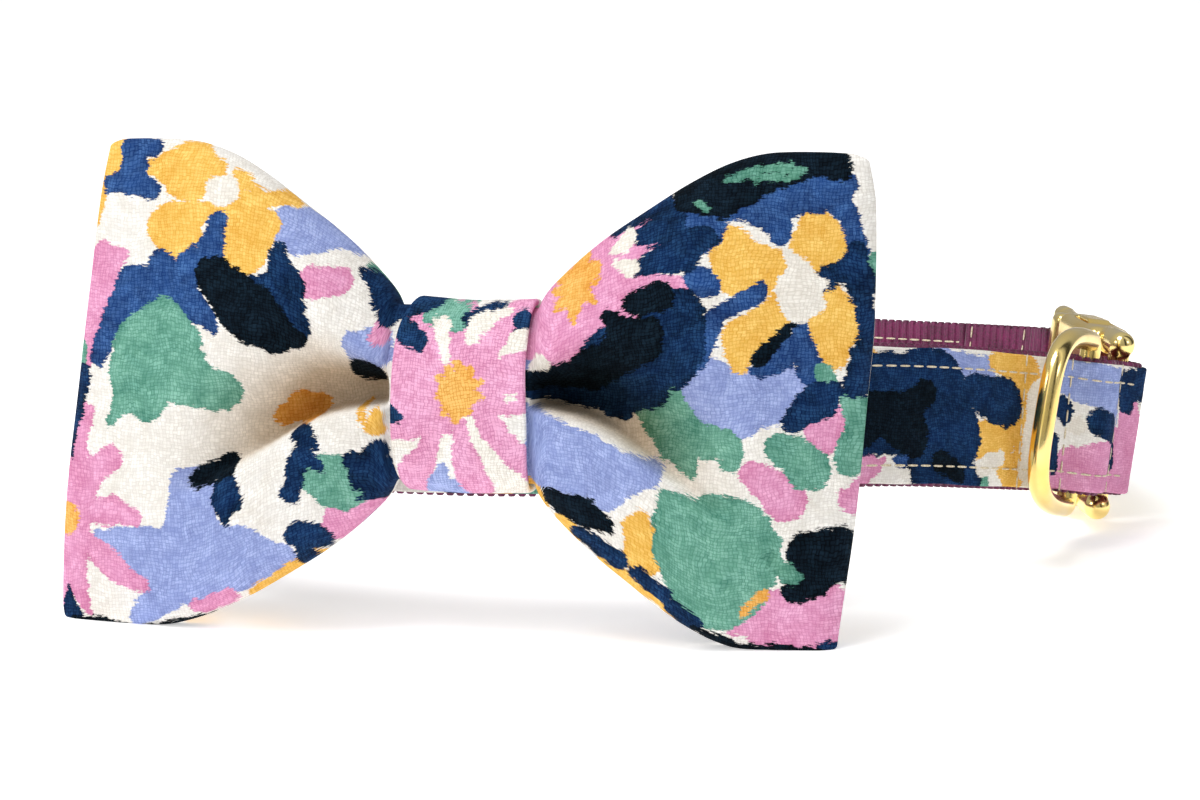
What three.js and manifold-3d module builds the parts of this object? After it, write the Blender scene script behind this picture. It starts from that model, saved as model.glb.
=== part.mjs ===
// Pet bow tie collar: a webbing loop with a printed cotton strip on its outside, fastened by a
// metal side release buckle, with a lead ring beside the buckle and a padded bow on the front.
// Millimetres. The loop is drawn flat in its own plane: x to the right, y to the back, z along the
// band's height. The whole collar is then tilted back, so that the bow's lower corners and the
// back of the band stand on z = 0.

import * as THREE from 'three';
import { mergeVertices } from 'three/addons/utils/BufferGeometryUtils.js';
import Module from 'manifold-3d';

const wasm = await Module();
wasm.setup();

// ---------------------------------------------------------------- driving dimensions

const gap = 0.35; // air between neighbouring pieces
const tiltBack = THREE.MathUtils.degToRad(7.2); // the loop slopes down to the back by this

const webbing = { width: 26, thickness: 1.8, step: 6 };
const strip = { width: 24.8, thickness: 0.9 };

// the band's middle line, from the far buckle bar round the back, left and front to the near bar
const bandRoute = [
  { x: 95, y: 129, rise: 0.7 },
  { x: 64, y: 151, rise: 0.4 },
  { x: 24, y: 167, rise: 0.3 },
  { x: -20, y: 168, rise: 0 },
  { x: -58, y: 151, rise: 0 },
  { x: -82, y: 120, rise: 0 },
  { x: -90, y: 83, rise: 0 },
  { x: -83, y: 47, rise: 0 },
  { x: -63, y: 19, rise: 0 },
  { x: -34, y: 4.2, rise: 0 },
  { x: 0, y: 0, rise: 0 },
  { x: 37, y: 7, rise: 1.2 },
  { x: 69, y: 25, rise: 2 },
  { x: 94, y: 54, rise: -0.4 },
  { x: 108, y: 85, rise: -3.1 },
];

// near the buckle the band leans outward at its top
const lean = { x: 104, y: 107, most: 0.16, reach: 60, towards: new THREE.Vector3(0.9, -0.43, 0) };

const fold = { ease: 8, arcSteps: 8, nearTail: 42, farTail: 24 }; // webbing folded round a bar
const pocket = { beforeBar: 17, halfLength: 9.5, spare: 1, barOut: 0.3 }; // holds the lead ring's bar

const ring = {
  wire: 4,
  halfHeight: 16,
  reach: 25.5,
  squareness: 3.6,
  offBand: 10, // degrees off the band, and turned in its own plane by tilt
  tilt: 3.5,
  sides: 10,
  steps: 36,
};

const bow = {
  middleZ: 6,
  skew: 0.075, // the wings' outer edges lean by this
  halfWidth: 69.6,
  waistHalfWidth: 13,
  edgeRound: 3.4,
  frontSteps: 26, // points up the front of a section, and down its back
  backSteps: 14,
};

// half of the bow: distance from the middle, half height, depth each side, middle depth, pleat depth
const wingSections = [
  { x: 0, halfHeight: 15.2, depth: 9.2, y: -13.3, pleat: 0 },
  { x: 12.1, halfHeight: 15.2, depth: 9.2, y: -13.3, pleat: 0.4 },
  { x: 13.3, halfHeight: 17.4, depth: 9.8, y: -13.4, pleat: 5 },
  { x: 17, halfHeight: 21.6, depth: 11, y: -13.5, pleat: 8 },
  { x: 23, halfHeight: 27, depth: 12.2, y: -13.5, pleat: 8 },
  { x: 30, halfHeight: 32, depth: 12.8, y: -13.4, pleat: 5.5 },
  { x: 38, halfHeight: 37.2, depth: 12.4, y: -13.2, pleat: 2 },
  { x: 46, halfHeight: 41, depth: 11, y: -12.8, pleat: 0 },
  { x: 54, halfHeight: 42.8, depth: 8.8, y: -12.4, pleat: 0 },
  { x: 62, halfHeight: 43, depth: 6, y: -12, pleat: 0 },
  { x: 69.6, halfHeight: 42.7, depth: 3, y: -11.8, pleat: 0 },
];

// the pleat's lower lip: a steep wall below it, a long slope above it
const pleatLip = [
  { x: 9, z: 6 },
  { x: 17, z: 5.6 },
  { x: 26, z: 3.4 },
  { x: 34, z: -1.2 },
  { x: 46, z: -9 },
];
const pleatWall = { below: 3, above: 11 };

const wrap = { width: 23.6, thickness: 1.3, steps: 44 };

const buckle = {
  barRadius: 2.1,
  nearKnob: 2.6,
  farKnob: 2,
  nearHalf: 18.6, // half the height over the knobs
  farHalf: 17.8,
  bodyStart: 7.6,
  bodyEnd: 32.5,
  bodyHalfHeight: 16,
  bodyHalfDepth: 4.6,
  wall: 1.8,
  windowStart: 14.5,
  windowEnd: 27,
};

const colours = {
  webbing: 0x8e2468,
  print: 0xdcd6cc,
  gold: 0xd9b24c,
};

// ---------------------------------------------------------------- shared shapes

// A closed skin through rings of points. Every ring has the same number of points. The rings
// either close on each other, as round a hoop, or end in two fans.
function skin(rings, closed) {
  const count = rings[0].length;
  const positions = [];
  const triangles = [];
  for (const oneRing of rings) for (const point of oneRing) positions.push(point.x, point.y, point.z);
  const last = closed ? rings.length : rings.length - 1;
  for (let i = 0; i < last; i += 1) {
    const next = (i + 1) % rings.length;
    for (let j = 0; j < count; j += 1) {
      const beside = (j + 1) % count;
      const [a, b] = [i * count + j, i * count + beside];
      const [c, d] = [next * count + beside, next * count + j];
      triangles.push(a, b, c, a, c, d);
    }
  }
  if (!closed) {
    for (const [index, flip] of [[0, true], [rings.length - 1, false]]) {
      const middle = new THREE.Vector3();
      rings[index].forEach((point) => middle.addScaledVector(point, 1 / count));
      const hub = positions.length / 3;
      positions.push(middle.x, middle.y, middle.z);
      for (let j = 0; j < count; j += 1) {
        const pair = [index * count + j, index * count + ((j + 1) % count)];
        if (flip) pair.reverse();
        triangles.push(hub, ...pair);
      }
    }
  }
  const geometry = new THREE.BufferGeometry();
  geometry.setAttribute('position', new THREE.Float32BufferAttribute(positions, 3));
  geometry.setIndex(triangles);
  if (signedVolume(geometry) < 0) {
    for (let i = 0; i < triangles.length; i += 3) {
      [triangles[i + 1], triangles[i + 2]] = [triangles[i + 2], triangles[i + 1]];
    }
    geometry.setIndex(triangles);
  }
  geometry.computeVertexNormals();
  return geometry;
}

function signedVolume(geometry) {
  const place = geometry.getAttribute('position');
  const corner = [0, 1, 2].map(() => new THREE.Vector3());
  let sum = 0;
  for (let i = 0; i < geometry.index.count; i += 3) {
    corner.forEach((point, k) => point.fromBufferAttribute(place, geometry.index.getX(i + k)));
    sum += corner[0].dot(corner[1].clone().cross(corner[2])) / 6;
  }
  return sum;
}

// straight line between the rows of a table with an x column
function readTable(rows, column, x) {
  if (x <= rows[0].x) return rows[0][column];
  for (let i = 1; i < rows.length; i += 1) {
    if (x <= rows[i].x) {
      const part = (x - rows[i - 1].x) / (rows[i].x - rows[i - 1].x);
      return THREE.MathUtils.lerp(rows[i - 1][column], rows[i][column], part);
    }
  }
  return rows[rows.length - 1][column];
}

function toSolid(geometry) {
  const bare = geometry.clone();
  bare.deleteAttribute('normal');
  bare.deleteAttribute('uv');
  const merged = mergeVertices(bare, 1e-4);
  return new wasm.Manifold(new wasm.Mesh({
    numProp: 3,
    vertProperties: new Float32Array(merged.getAttribute('position').array),
    triVerts: new Uint32Array(merged.index.array),
  }));
}

function toGeometry(solid) {
  const { vertProperties, triVerts } = solid.getMesh();
  const geometry = new THREE.BufferGeometry();
  geometry.setAttribute('position', new THREE.Float32BufferAttribute(vertProperties, 3));
  geometry.setIndex(Array.from(triVerts));
  geometry.computeVertexNormals();
  return geometry;
}

const joined = (geometries) => geometries.map(toSolid).reduce((whole, piece) => whole.add(piece));

function named(name, geometry, colour, roughness, metalness = 0) {
  const material = new THREE.MeshStandardMaterial({ color: colour, roughness, metalness });
  const mesh = new THREE.Mesh(geometry, material);
  mesh.name = name;
  return mesh;
}

// ---------------------------------------------------------------- the band's route

const bandCurve = new THREE.CatmullRomCurve3(
  bandRoute.map(({ x, y, rise }) => new THREE.Vector3(x, y, rise)),
  false,
  'centripetal',
);
bandCurve.arcLengthDivisions = 1200;
const bandLength = bandCurve.getLength();

// the band's frame at a distance along it: place, forward, outward and up
function bandFrame(distance) {
  const clamped = THREE.MathUtils.clamp(distance, 0, bandLength);
  const place = bandCurve.getPointAt(clamped / bandLength);
  const forward = bandCurve.getTangentAt(clamped / bandLength);
  place.addScaledVector(forward, distance - clamped);
  const away = Math.hypot(place.x - lean.x, place.y - lean.y) / lean.reach;
  const up = new THREE.Vector3(0, 0, 1).addScaledVector(lean.towards, lean.most * Math.exp(-away * away));
  up.normalize();
  const outward = forward.clone().cross(up).normalize();
  return { place, forward, outward, up };
}

const foldRadius = buckle.barRadius + gap + strip.thickness / 2 + webbing.thickness / 2;
const layerDrop = webbing.thickness + gap; // the folded layer lies this far inside the outer one
const barDepth = -layerDrop / 2;
const pocketAt = bandLength - pocket.beforeBar;
const pocketHalf = ring.wire / 2 + pocket.spare + gap + webbing.thickness / 2;

const swell = (t) => (Math.abs(t) >= 1 ? 0 : Math.cos((t * Math.PI) / 2) ** 2);

// how far out of the route a layer lies, with room for the bars: side is 1 outside, -1 inside
function layerOffset(distance, side) {
  const flat = side > 0 ? 0 : -layerDrop;
  const nearest = Math.min(distance, bandLength - distance) / fold.ease;
  const round = barDepth + side * foldRadius - flat;
  const bump = pocket.barOut + side * pocketHalf - flat;
  return flat + round * swell(nearest) + bump * swell((distance - pocketAt) / pocket.halfLength);
}

// the webbing's path as distance and offset: far tail, far fold, the whole loop, near fold, near tail
function webbingPath() {
  const path = [];
  const run = (from, to, step, side) => {
    const count = Math.round(Math.abs(to - from) / step);
    for (let i = 0; i < count; i += 1) {
      const distance = THREE.MathUtils.lerp(from, to, i / count);
      path.push({ distance, offset: layerOffset(distance, side) });
    }
  };
  const turn = (bar, direction) => {
    for (let i = 0; i <= fold.arcSteps; i += 1) {
      const angle = Math.PI * (i / fold.arcSteps - 0.5);
      path.push({
        distance: bar + direction * foldRadius * Math.cos(angle),
        offset: barDepth - direction * foldRadius * Math.sin(angle),
      });
    }
  };
  const fine = 1.6;
  run(fold.farTail, fold.ease, 4, -1);
  run(fold.ease, 0, fine, -1);
  turn(0, -1);
  path.push({ distance: fine, offset: layerOffset(fine, 1) });
  run(fine * 2, fold.ease, fine, 1);
  run(fold.ease, pocketAt - pocket.halfLength, webbing.step, 1);
  run(pocketAt - pocket.halfLength, bandLength, fine, 1);
  turn(bandLength, 1);
  run(bandLength - fine, pocketAt - pocket.halfLength, fine, -1);
  run(pocketAt - pocket.halfLength, bandLength - fold.nearTail - 0.01, 4, -1);
  return path;
}

// a flat band with square edges along a path, with its middle moved off the path by shift
function bandSolid(path, width, thickness, shift) {
  const frames = path.map(({ distance, offset }) => {
    const { place, outward, up } = bandFrame(distance);
    return { point: place.addScaledVector(outward, offset), up };
  });
  const rings = frames.map(({ point, up }, i) => {
    const before = frames[Math.max(i - 1, 0)].point;
    const after = frames[Math.min(i + 1, frames.length - 1)].point;
    const face = after.clone().sub(before).cross(up).normalize();
    const corner = (side, end) => point.clone()
      .addScaledVector(face, shift + (side * thickness) / 2)
      .addScaledVector(up, (end * width) / 2);
    return [corner(-1, -1), corner(1, -1), corner(1, 1), corner(-1, 1)];
  });
  return skin(rings, false);
}

function strapWebbing() {
  return bandSolid(webbingPath(), webbing.width, webbing.thickness, 0);
}

// the printed strip covers the outside and turns just past both folds
function strapPrintStrip() {
  const path = webbingPath();
  const firstTurn = path.findIndex(({ distance }) => distance < -foldRadius * 0.99);
  const lastTurn = path.findIndex(({ distance }) => distance > bandLength + foldRadius * 0.99);
  const shift = webbing.thickness / 2 + gap + strip.thickness / 2;
  return bandSolid(path.slice(firstTurn, lastTurn + 1), strip.width, strip.thickness, shift);
}

// ---------------------------------------------------------------- lead ring

// the ring's outline from its bar, x out from the bar and z along it
function ringOutline(angle) {
  const power = 2 / ring.squareness;
  const reach = Math.max(Math.cos(angle), 0) ** power;
  const height = Math.sign(Math.sin(angle)) * Math.abs(Math.sin(angle)) ** power;
  return new THREE.Vector3(reach * ring.reach, 0, height * ring.halfHeight);
}

function leadRing() {
  const route = [];
  const barSteps = 8;
  const bowSteps = ring.steps - barSteps;
  for (let i = 0; i <= bowSteps; i += 1) {
    route.push(ringOutline(Math.PI * (i / bowSteps - 0.5)));
  }
  for (let i = 1; i < barSteps; i += 1) {
    route.push(new THREE.Vector3(0, 0, ring.halfHeight * (1 - (2 * i) / barSteps)));
  }
  const curve = new THREE.CatmullRomCurve3(route, true, 'centripetal');
  const rings = [];
  for (let i = 0; i < ring.steps * 1.5; i += 1) {
    const along = i / (ring.steps * 1.5);
    const place = curve.getPointAt(along);
    const inward = curve.getTangentAt(along).cross(new THREE.Vector3(0, 1, 0)).normalize();
    rings.push(Array.from({ length: ring.sides }, (_, j) => {
      const angle = (2 * Math.PI * j) / ring.sides;
      return place.clone()
        .addScaledVector(inward, (ring.wire / 2) * Math.cos(angle))
        .add(new THREE.Vector3(0, (ring.wire / 2) * Math.sin(angle), 0));
    }));
  }
  return skin(rings, true);
}

// turn a mesh so that its x runs along one direction and its z along another
function settle(mesh, place, along, up) {
  const x = along.clone().normalize();
  const z = up.clone().addScaledVector(x, -up.dot(x)).normalize();
  const y = z.clone().cross(x);
  mesh.setRotationFromMatrix(new THREE.Matrix4().makeBasis(x, y, z));
  mesh.position.copy(place);
  return mesh;
}

function settledRing() {
  const { place, forward, outward, up } = bandFrame(pocketAt);
  const off = THREE.MathUtils.degToRad(ring.offBand);
  const tilt = THREE.MathUtils.degToRad(ring.tilt);
  const along = forward.clone().multiplyScalar(-Math.cos(off)).addScaledVector(outward, Math.sin(off));
  along.multiplyScalar(Math.cos(tilt)).addScaledVector(up, Math.sin(tilt));
  place.addScaledVector(outward, pocket.barOut);
  return settle(named('d_ring', leadRing(), colours.gold, 0.15, 1), place, along, up);
}

// ---------------------------------------------------------------- buckle
// drawn with x from the near bar to the far bar, y into the loop and z along the bars

const nearFrame = bandFrame(bandLength);
const farFrame = bandFrame(0);
const nearBar = nearFrame.place.clone().addScaledVector(nearFrame.outward, barDepth);
const farBar = farFrame.place.clone().addScaledVector(farFrame.outward, barDepth);
const buckleLength = nearBar.distanceTo(farBar);

function rod(radius, from, to, sides = 14) {
  const start = new THREE.Vector3(...from);
  const end = new THREE.Vector3(...to);
  const geometry = new THREE.CylinderGeometry(radius, radius, start.distanceTo(end), sides);
  const turn = new THREE.Quaternion().setFromUnitVectors(
    new THREE.Vector3(0, 1, 0),
    end.clone().sub(start).normalize(),
  );
  geometry.applyQuaternion(turn);
  return geometry.translate(...start.add(end).multiplyScalar(0.5).toArray());
}

const ball = (radius, x, z) => new THREE.SphereGeometry(radius, 14, 10).translate(x, 0, z);

function block(fromX, toX, halfY, fromZ, toZ) {
  return new THREE.BoxGeometry(toX - fromX, halfY * 2, toZ - fromZ)
    .translate((fromX + toX) / 2, 0, (fromZ + toZ) / 2);
}

// a block along x whose section has rounded corners
function roundedBlock(fromX, toX, halfY, halfZ, radius) {
  const shape = new THREE.Shape();
  for (const [sideY, sideZ, start] of [[1, 1, 0], [-1, 1, 0.5], [-1, -1, 1], [1, -1, 1.5]]) {
    shape.absarc(
      sideY * (halfY - radius),
      sideZ * (halfZ - radius),
      radius,
      start * Math.PI,
      (start + 0.5) * Math.PI,
    );
  }
  shape.closePath();
  const edge = 0.8;
  const geometry = new THREE.ExtrudeGeometry(shape, {
    depth: toX - fromX - 2 * edge,
    bevelThickness: edge,
    bevelSize: edge,
    bevelOffset: -edge,
    bevelSegments: 2,
    curveSegments: 5,
  });
  geometry.translate(0, 0, edge);
  return geometry.applyMatrix4(new THREE.Matrix4().makeBasis(
    new THREE.Vector3(0, 1, 0),
    new THREE.Vector3(0, 0, 1),
    new THREE.Vector3(1, 0, 0),
  )).translate(fromX, 0, 0);
}

// bar, two knobs and two rails that carry them on a body
function slotFrame(barX, bodyX, knob, half, radius) {
  const knobZ = half - knob;
  return [
    rod(radius, [barX, 0, -knobZ], [barX, 0, knobZ]),
    ...[-1, 1].flatMap((side) => [
      ball(knob, barX, side * knobZ),
      rod(knob * 0.82, [barX, 0, side * knobZ], [bodyX, 0, side * (knobZ - 0.5)]),
    ]),
  ];
}

function buckleSocket() {
  const { bodyStart, bodyEnd, bodyHalfHeight, bodyHalfDepth, wall } = buckle;
  const outside = joined([
    ...slotFrame(0, bodyStart + 2, buckle.nearKnob, buckle.nearHalf, buckle.barRadius),
    roundedBlock(bodyStart, bodyEnd, bodyHalfDepth, bodyHalfHeight, 2.6),
  ]);
  const cavity = block(
    bodyStart + 2.6, bodyEnd + 1, bodyHalfDepth - wall,
    -(bodyHalfHeight - wall - 0.8), bodyHalfHeight - wall - 0.8,
  );
  const windows = block(
    buckle.windowStart, buckle.windowEnd, bodyHalfDepth - wall,
    -(bodyHalfHeight + 1), bodyHalfHeight + 1,
  );
  return toGeometry(outside.subtract(joined([cavity, windows])));
}

// one sprung prong with its release button, drawn for the upper side
function prong(side) {
  const inner = buckle.bodyHalfHeight - buckle.wall - 0.8 - 0.5; // inside the cavity
  const outline = [
    [buckle.bodyEnd + 1.5, 4.6], [buckle.windowStart + 3, inner - 4.6], [buckle.windowStart - 2.6, 6.2],
    [buckle.windowStart - 2.6, 9], [buckle.windowStart + 0.7, inner - 0.2],
    [buckle.windowStart + 0.7, buckle.bodyHalfHeight - 0.7],
    [buckle.windowStart + 3.6, buckle.bodyHalfHeight + 0.5],
    [buckle.windowEnd - 3.2, buckle.bodyHalfHeight + 0.4],
    [buckle.windowEnd - 0.7, buckle.bodyHalfHeight - 1], [buckle.windowEnd - 0.7, inner - 1],
    [buckle.bodyEnd + 1.5, 8],
  ].map(([x, z]) => new THREE.Vector2(x, z * side));
  const depth = 2 * (buckle.bodyHalfDepth - buckle.wall - 0.5);
  return new THREE.ExtrudeGeometry(new THREE.Shape(outline), { depth, bevelEnabled: false })
    .translate(0, 0, -depth / 2)
    .rotateX(Math.PI / 2);
}

function bucklePlug() {
  const { bodyEnd, bodyHalfDepth, bodyHalfHeight } = buckle;
  const shoulder = bodyEnd + 0.6;
  return toGeometry(joined([
    ...slotFrame(buckleLength, shoulder + 3, buckle.farKnob, buckle.farHalf, buckle.barRadius),
    roundedBlock(shoulder, shoulder + 5, bodyHalfDepth, bodyHalfHeight - 0.8, 2.6),
    block(buckle.windowStart, shoulder + 1, 1.8, -2.4, 2.4),
    prong(1),
    prong(-1),
  ]));
}

function settledBuckle() {
  const along = farBar.clone().sub(nearBar);
  const up = nearFrame.up.clone().add(farFrame.up);
  const place = (name, geometry) => settle(named(name, geometry, colours.gold, 0.18, 1), nearBar, along, up);
  return [place('buckle_socket', buckleSocket()), place('buckle_plug', bucklePlug())];
}

// ---------------------------------------------------------------- bow

// the band and its metal stand on the floor; the bow is flattened where it meets it
const loop = new THREE.Group();
loop.rotation.x = -tiltBack;
loop.add(
  named('strap_webbing', strapWebbing(), colours.webbing, 0.8),
  named('strap_print_strip', strapPrintStrip(), colours.print, 0.9),
  settledRing(),
  ...settledBuckle(),
);
loop.updateMatrixWorld(true);
const lift = -new THREE.Box3().setFromObject(loop, true).min.z;

// height of the floor in the loop's own frame, under the depth y
const floorAt = (y) => (y * Math.sin(tiltBack) - lift) / Math.cos(tiltBack);

function bowPoint(x, angle, thin) {
  const off = Math.abs(x);
  const halfHeight = readTable(wingSections, 'halfHeight', off) - (1 - thin) * bow.edgeRound * 0.4;
  const depth = readTable(wingSections, 'depth', off) * thin;
  const up = Math.sin(angle);
  const out = Math.cos(angle);
  const z = bow.middleZ + halfHeight * Math.sign(up) * Math.abs(up) ** 0.86;
  let y = readTable(wingSections, 'y', off) - depth * Math.sign(out) * Math.abs(out) ** 0.8;
  if (out > 0) {
    const above = z - readTable(pleatLip, 'z', off);
    const reach = above > 0 ? pleatWall.above : pleatWall.below;
    y += readTable(wingSections, 'pleat', off) * Math.exp(-((above / reach) ** 2)) * thin;
  }
  const leaning = THREE.MathUtils.smoothstep(off, bow.waistHalfWidth, bow.halfWidth) * bow.skew;
  return new THREE.Vector3(x + leaning * (z - bow.middleZ), y, Math.max(z, floorAt(y)));
}

function bowSolid() {
  const inner = bow.halfWidth - bow.edgeRound;
  const plain = [0, 6, 12.1, 13.3, 15, 17, 20, 23, 26.5, 30, 34, 38, 42, 46, 50, 54, 58, 62, inner];
  const half = plain.map((x) => ({ x, thin: 1 }));
  for (const turn of [0.4, 0.75, 0.93]) {
    half.push({ x: inner + bow.edgeRound * turn, thin: Math.sqrt(1 - turn * turn) });
  }
  const stations = [
    ...half.slice(1).reverse().map(({ x, thin }) => ({ x: -x, thin })),
    ...half,
  ];
  const angles = [
    ...Array.from({ length: bow.frontSteps }, (_, j) => Math.PI * (j / bow.frontSteps - 0.5)),
    ...Array.from({ length: bow.backSteps }, (_, j) => Math.PI * (j / bow.backSteps + 0.5)),
  ];
  return skin(stations.map(({ x, thin }) => angles.map((angle) => bowPoint(x, angle, thin))), false);
}

// the band round the bow's waist
function bowWrap() {
  const waist = wingSections[0];
  const rings = [];
  for (let i = 0; i < wrap.steps; i += 1) {
    const angle = (2 * Math.PI * i) / wrap.steps;
    const round = (grow) => new THREE.Vector3(
      0,
      waist.y - (waist.depth + grow) * Math.sign(Math.cos(angle)) * Math.abs(Math.cos(angle)) ** 0.8,
      bow.middleZ + (waist.halfHeight + grow) * Math.sign(Math.sin(angle)) * Math.abs(Math.sin(angle)) ** 0.86,
    );
    const [inside, outside] = [round(gap), round(gap + wrap.thickness)];
    const half = wrap.width / 2;
    rings.push([[inside, -half], [outside, -half], [outside, half], [inside, half]]
      .map(([point, x]) => new THREE.Vector3(x, point.y, point.z)));
  }
  return skin(rings, true);
}

// ---------------------------------------------------------------- the collar

loop.add(
  named('bow', bowSolid(), colours.print, 0.9),
  named('bow_centre_wrap', bowWrap(), colours.print, 0.9),
);
loop.position.z = lift;

const collar = new THREE.Group();
collar.add(loop);
collar.updateMatrixWorld(true);
const middle = new THREE.Box3().setFromObject(collar, true).getCenter(new THREE.Vector3());
loop.position.x = -middle.x;
loop.position.y = -middle.y;
collar.updateMatrixWorld(true);

export default collar;
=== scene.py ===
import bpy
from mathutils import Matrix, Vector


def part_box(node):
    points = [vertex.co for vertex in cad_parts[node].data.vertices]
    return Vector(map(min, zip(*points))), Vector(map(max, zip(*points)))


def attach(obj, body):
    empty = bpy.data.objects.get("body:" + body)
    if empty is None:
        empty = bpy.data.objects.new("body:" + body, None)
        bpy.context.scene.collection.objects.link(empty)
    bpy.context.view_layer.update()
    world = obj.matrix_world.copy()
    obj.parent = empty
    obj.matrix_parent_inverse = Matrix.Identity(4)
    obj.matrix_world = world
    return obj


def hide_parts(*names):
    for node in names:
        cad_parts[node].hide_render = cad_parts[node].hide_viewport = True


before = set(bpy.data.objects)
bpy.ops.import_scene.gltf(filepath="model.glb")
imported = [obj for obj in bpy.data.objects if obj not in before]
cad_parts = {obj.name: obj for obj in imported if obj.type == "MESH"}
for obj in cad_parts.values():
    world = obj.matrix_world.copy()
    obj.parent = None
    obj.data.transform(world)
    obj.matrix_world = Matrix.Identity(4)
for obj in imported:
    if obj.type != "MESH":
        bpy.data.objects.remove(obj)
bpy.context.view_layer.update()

import math

import bmesh
import bpy
import numpy as np
from mathutils import Matrix, Vector

mm = 0.001
scene = bpy.context.scene

# The collar is drawn in millimetres in the plane of its loop: x right, y back, z up the band,
# with 0 at the band's middle line in front. It is then tilted back and moved to its place.
collar = {"tiltBack": 7.2, "wrapMiddle": (0.0, -13.3, 6.0)}

lowWrap, highWrap = (np.array(corner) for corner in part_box("bow_centre_wrap"))
tilt = math.radians(-collar["tiltBack"])
tiltTurn = np.array([[1, 0, 0],
                     [0, math.cos(tilt), -math.sin(tilt)],
                     [0, math.sin(tilt), math.cos(tilt)]])
collarPlace = (lowWrap + highWrap) / 2 - tiltTurn @ np.array(collar["wrapMiddle"]) * mm


def toFrame(points):
    return np.asarray(points, float) @ tiltTurn.T * mm + collarPlace


def smoothStep(low, high, value):
    t = np.clip((value - low) / (high - low), 0, 1)
    return t * t * (3 - 2 * t)


def unit(vectors):
    return vectors / np.linalg.norm(vectors, axis=-1, keepdims=True)


# a smooth curve through one column of a table, with no overshoot
def readTable(rows, column, x):
    xs = np.array([row["x"] for row in rows], float)
    ys = np.array([row[column] for row in rows], float)
    slope = np.diff(ys) / np.diff(xs)
    tangent = np.concatenate([slope[:1], (slope[1:] + slope[:-1]) / 2, slope[-1:]])
    tangent[1:-1][slope[1:] * slope[:-1] <= 0] = 0
    steepest = 3 * np.minimum(np.abs(slope[1:]), np.abs(slope[:-1]))
    tangent[1:-1] = np.clip(tangent[1:-1], -steepest, steepest)
    x = np.clip(x, xs[0], xs[-1])
    i = np.clip(np.searchsorted(xs, x, "right") - 1, 0, len(xs) - 2)
    span = xs[i + 1] - xs[i]
    t = (x - xs[i]) / span
    return ((2 * t ** 3 - 3 * t ** 2 + 1) * ys[i] + (t ** 3 - 2 * t ** 2 + t) * span * tangent[i]
            + (3 * t ** 2 - 2 * t ** 3) * ys[i + 1] + (t ** 3 - t ** 2) * span * tangent[i + 1])


# soft random hills, one every so many millimetres, between -1 and 1
def hills(u, v, size, seed):
    grid = np.random.RandomState(seed).uniform(-1, 1, (64, 64))
    u, v = np.asarray(u, float) / size, np.asarray(v, float) / size
    iu, iv = np.floor(u).astype(int), np.floor(v).astype(int)
    fu, fv = u - iu, v - iv
    fu, fv = fu * fu * (3 - 2 * fu), fv * fv * (3 - 2 * fv)
    a, b = grid[iu % 64, iv % 64], grid[(iu + 1) % 64, iv % 64]
    c, d = grid[iu % 64, (iv + 1) % 64], grid[(iu + 1) % 64, (iv + 1) % 64]
    return (a * (1 - fu) + b * fu) * (1 - fv) + (c * (1 - fu) + d * fu) * fv


def newMesh(name, points, faces, cloth=None):
    mesh = bpy.data.meshes.new(name)
    mesh.from_pydata([tuple(p) for p in points], [], faces)
    mesh.update()
    mesh.shade_smooth()
    if cloth is not None:
        mesh.uv_layers.new(name="cloth").data.foreach_set("uv", np.asarray(cloth, np.float32).ravel())
    obj = bpy.data.objects.new(name, mesh)
    scene.collection.objects.link(obj)
    return obj


# A closed skin through rings of points, given as [ring, point, xyz] in the collar's millimetres.
# The rings close on each other, or each end is zipped shut between its front and its back half.
# cloth holds the place on the cloth, in millimetres, with one more column than there are points.
def skin(name, rings, closed=False, cloth=None):
    rings = np.asarray(rings, float)
    count, per = rings.shape[:2]
    points = toFrame(rings.reshape(-1, 3))
    corners = []  # (ring, column) of each corner, with the column allowed one past the last
    for i in range(count if closed else count - 1):
        corners += [((i, j), (i, j + 1), (i + 1, j + 1), (i + 1, j)) for j in range(per)]
    if not closed:
        half = per // 2
        for i, flip in ((0, False), (count - 1, True)):
            for j in range(half):
                zipped = ((i, j), (i, per - j), (i, per - j - 1), (i, j + 1))
                if j == 0:
                    zipped = ((i, 0), (i, per - 1), (i, 1))
                elif j == half - 1 and per % 2 == 0:
                    zipped = ((i, j), (i, per - j), (i, j + 1))
                corners.append(zipped[::-1] if flip else zipped)
    faces = [tuple((i % count) * per + j % per for i, j in face) for face in corners]
    middle = points.mean(0)
    volume = 0.0
    for face in faces:
        a = points[face[0]] - middle
        for k in range(1, len(face) - 1):
            volume += a @ np.cross(points[face[k]] - middle, points[face[k + 1]] - middle)
    if volume < 0:
        faces = [face[::-1] for face in faces]
        corners = [face[::-1] for face in corners]
    uv = None
    if cloth is not None:
        cloth = np.asarray(cloth, float)
        uv = [cloth[i, j] for face in corners for i, j in face]
    return newMesh(name, points, faces, uv)


def setAttribute(obj, name, values):
    obj.data.attributes.new(name, "FLOAT", "POINT").data.foreach_set("value", np.asarray(values, np.float32))


# the length round a section, with one more column for the way back to its start
def lengthRound(rings):
    step = np.linalg.norm(np.diff(np.concatenate([rings, rings[:, :1]], 1), axis=1), axis=2)
    return np.concatenate([np.zeros((len(rings), 1)), np.cumsum(step, 1)], 1)


print("camera and light")
view = {"middle": (11.1, -81.15, 40.6), "round": 9.5, "above": 11.0, "away": 650.0, "lens": 112.5}

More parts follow.
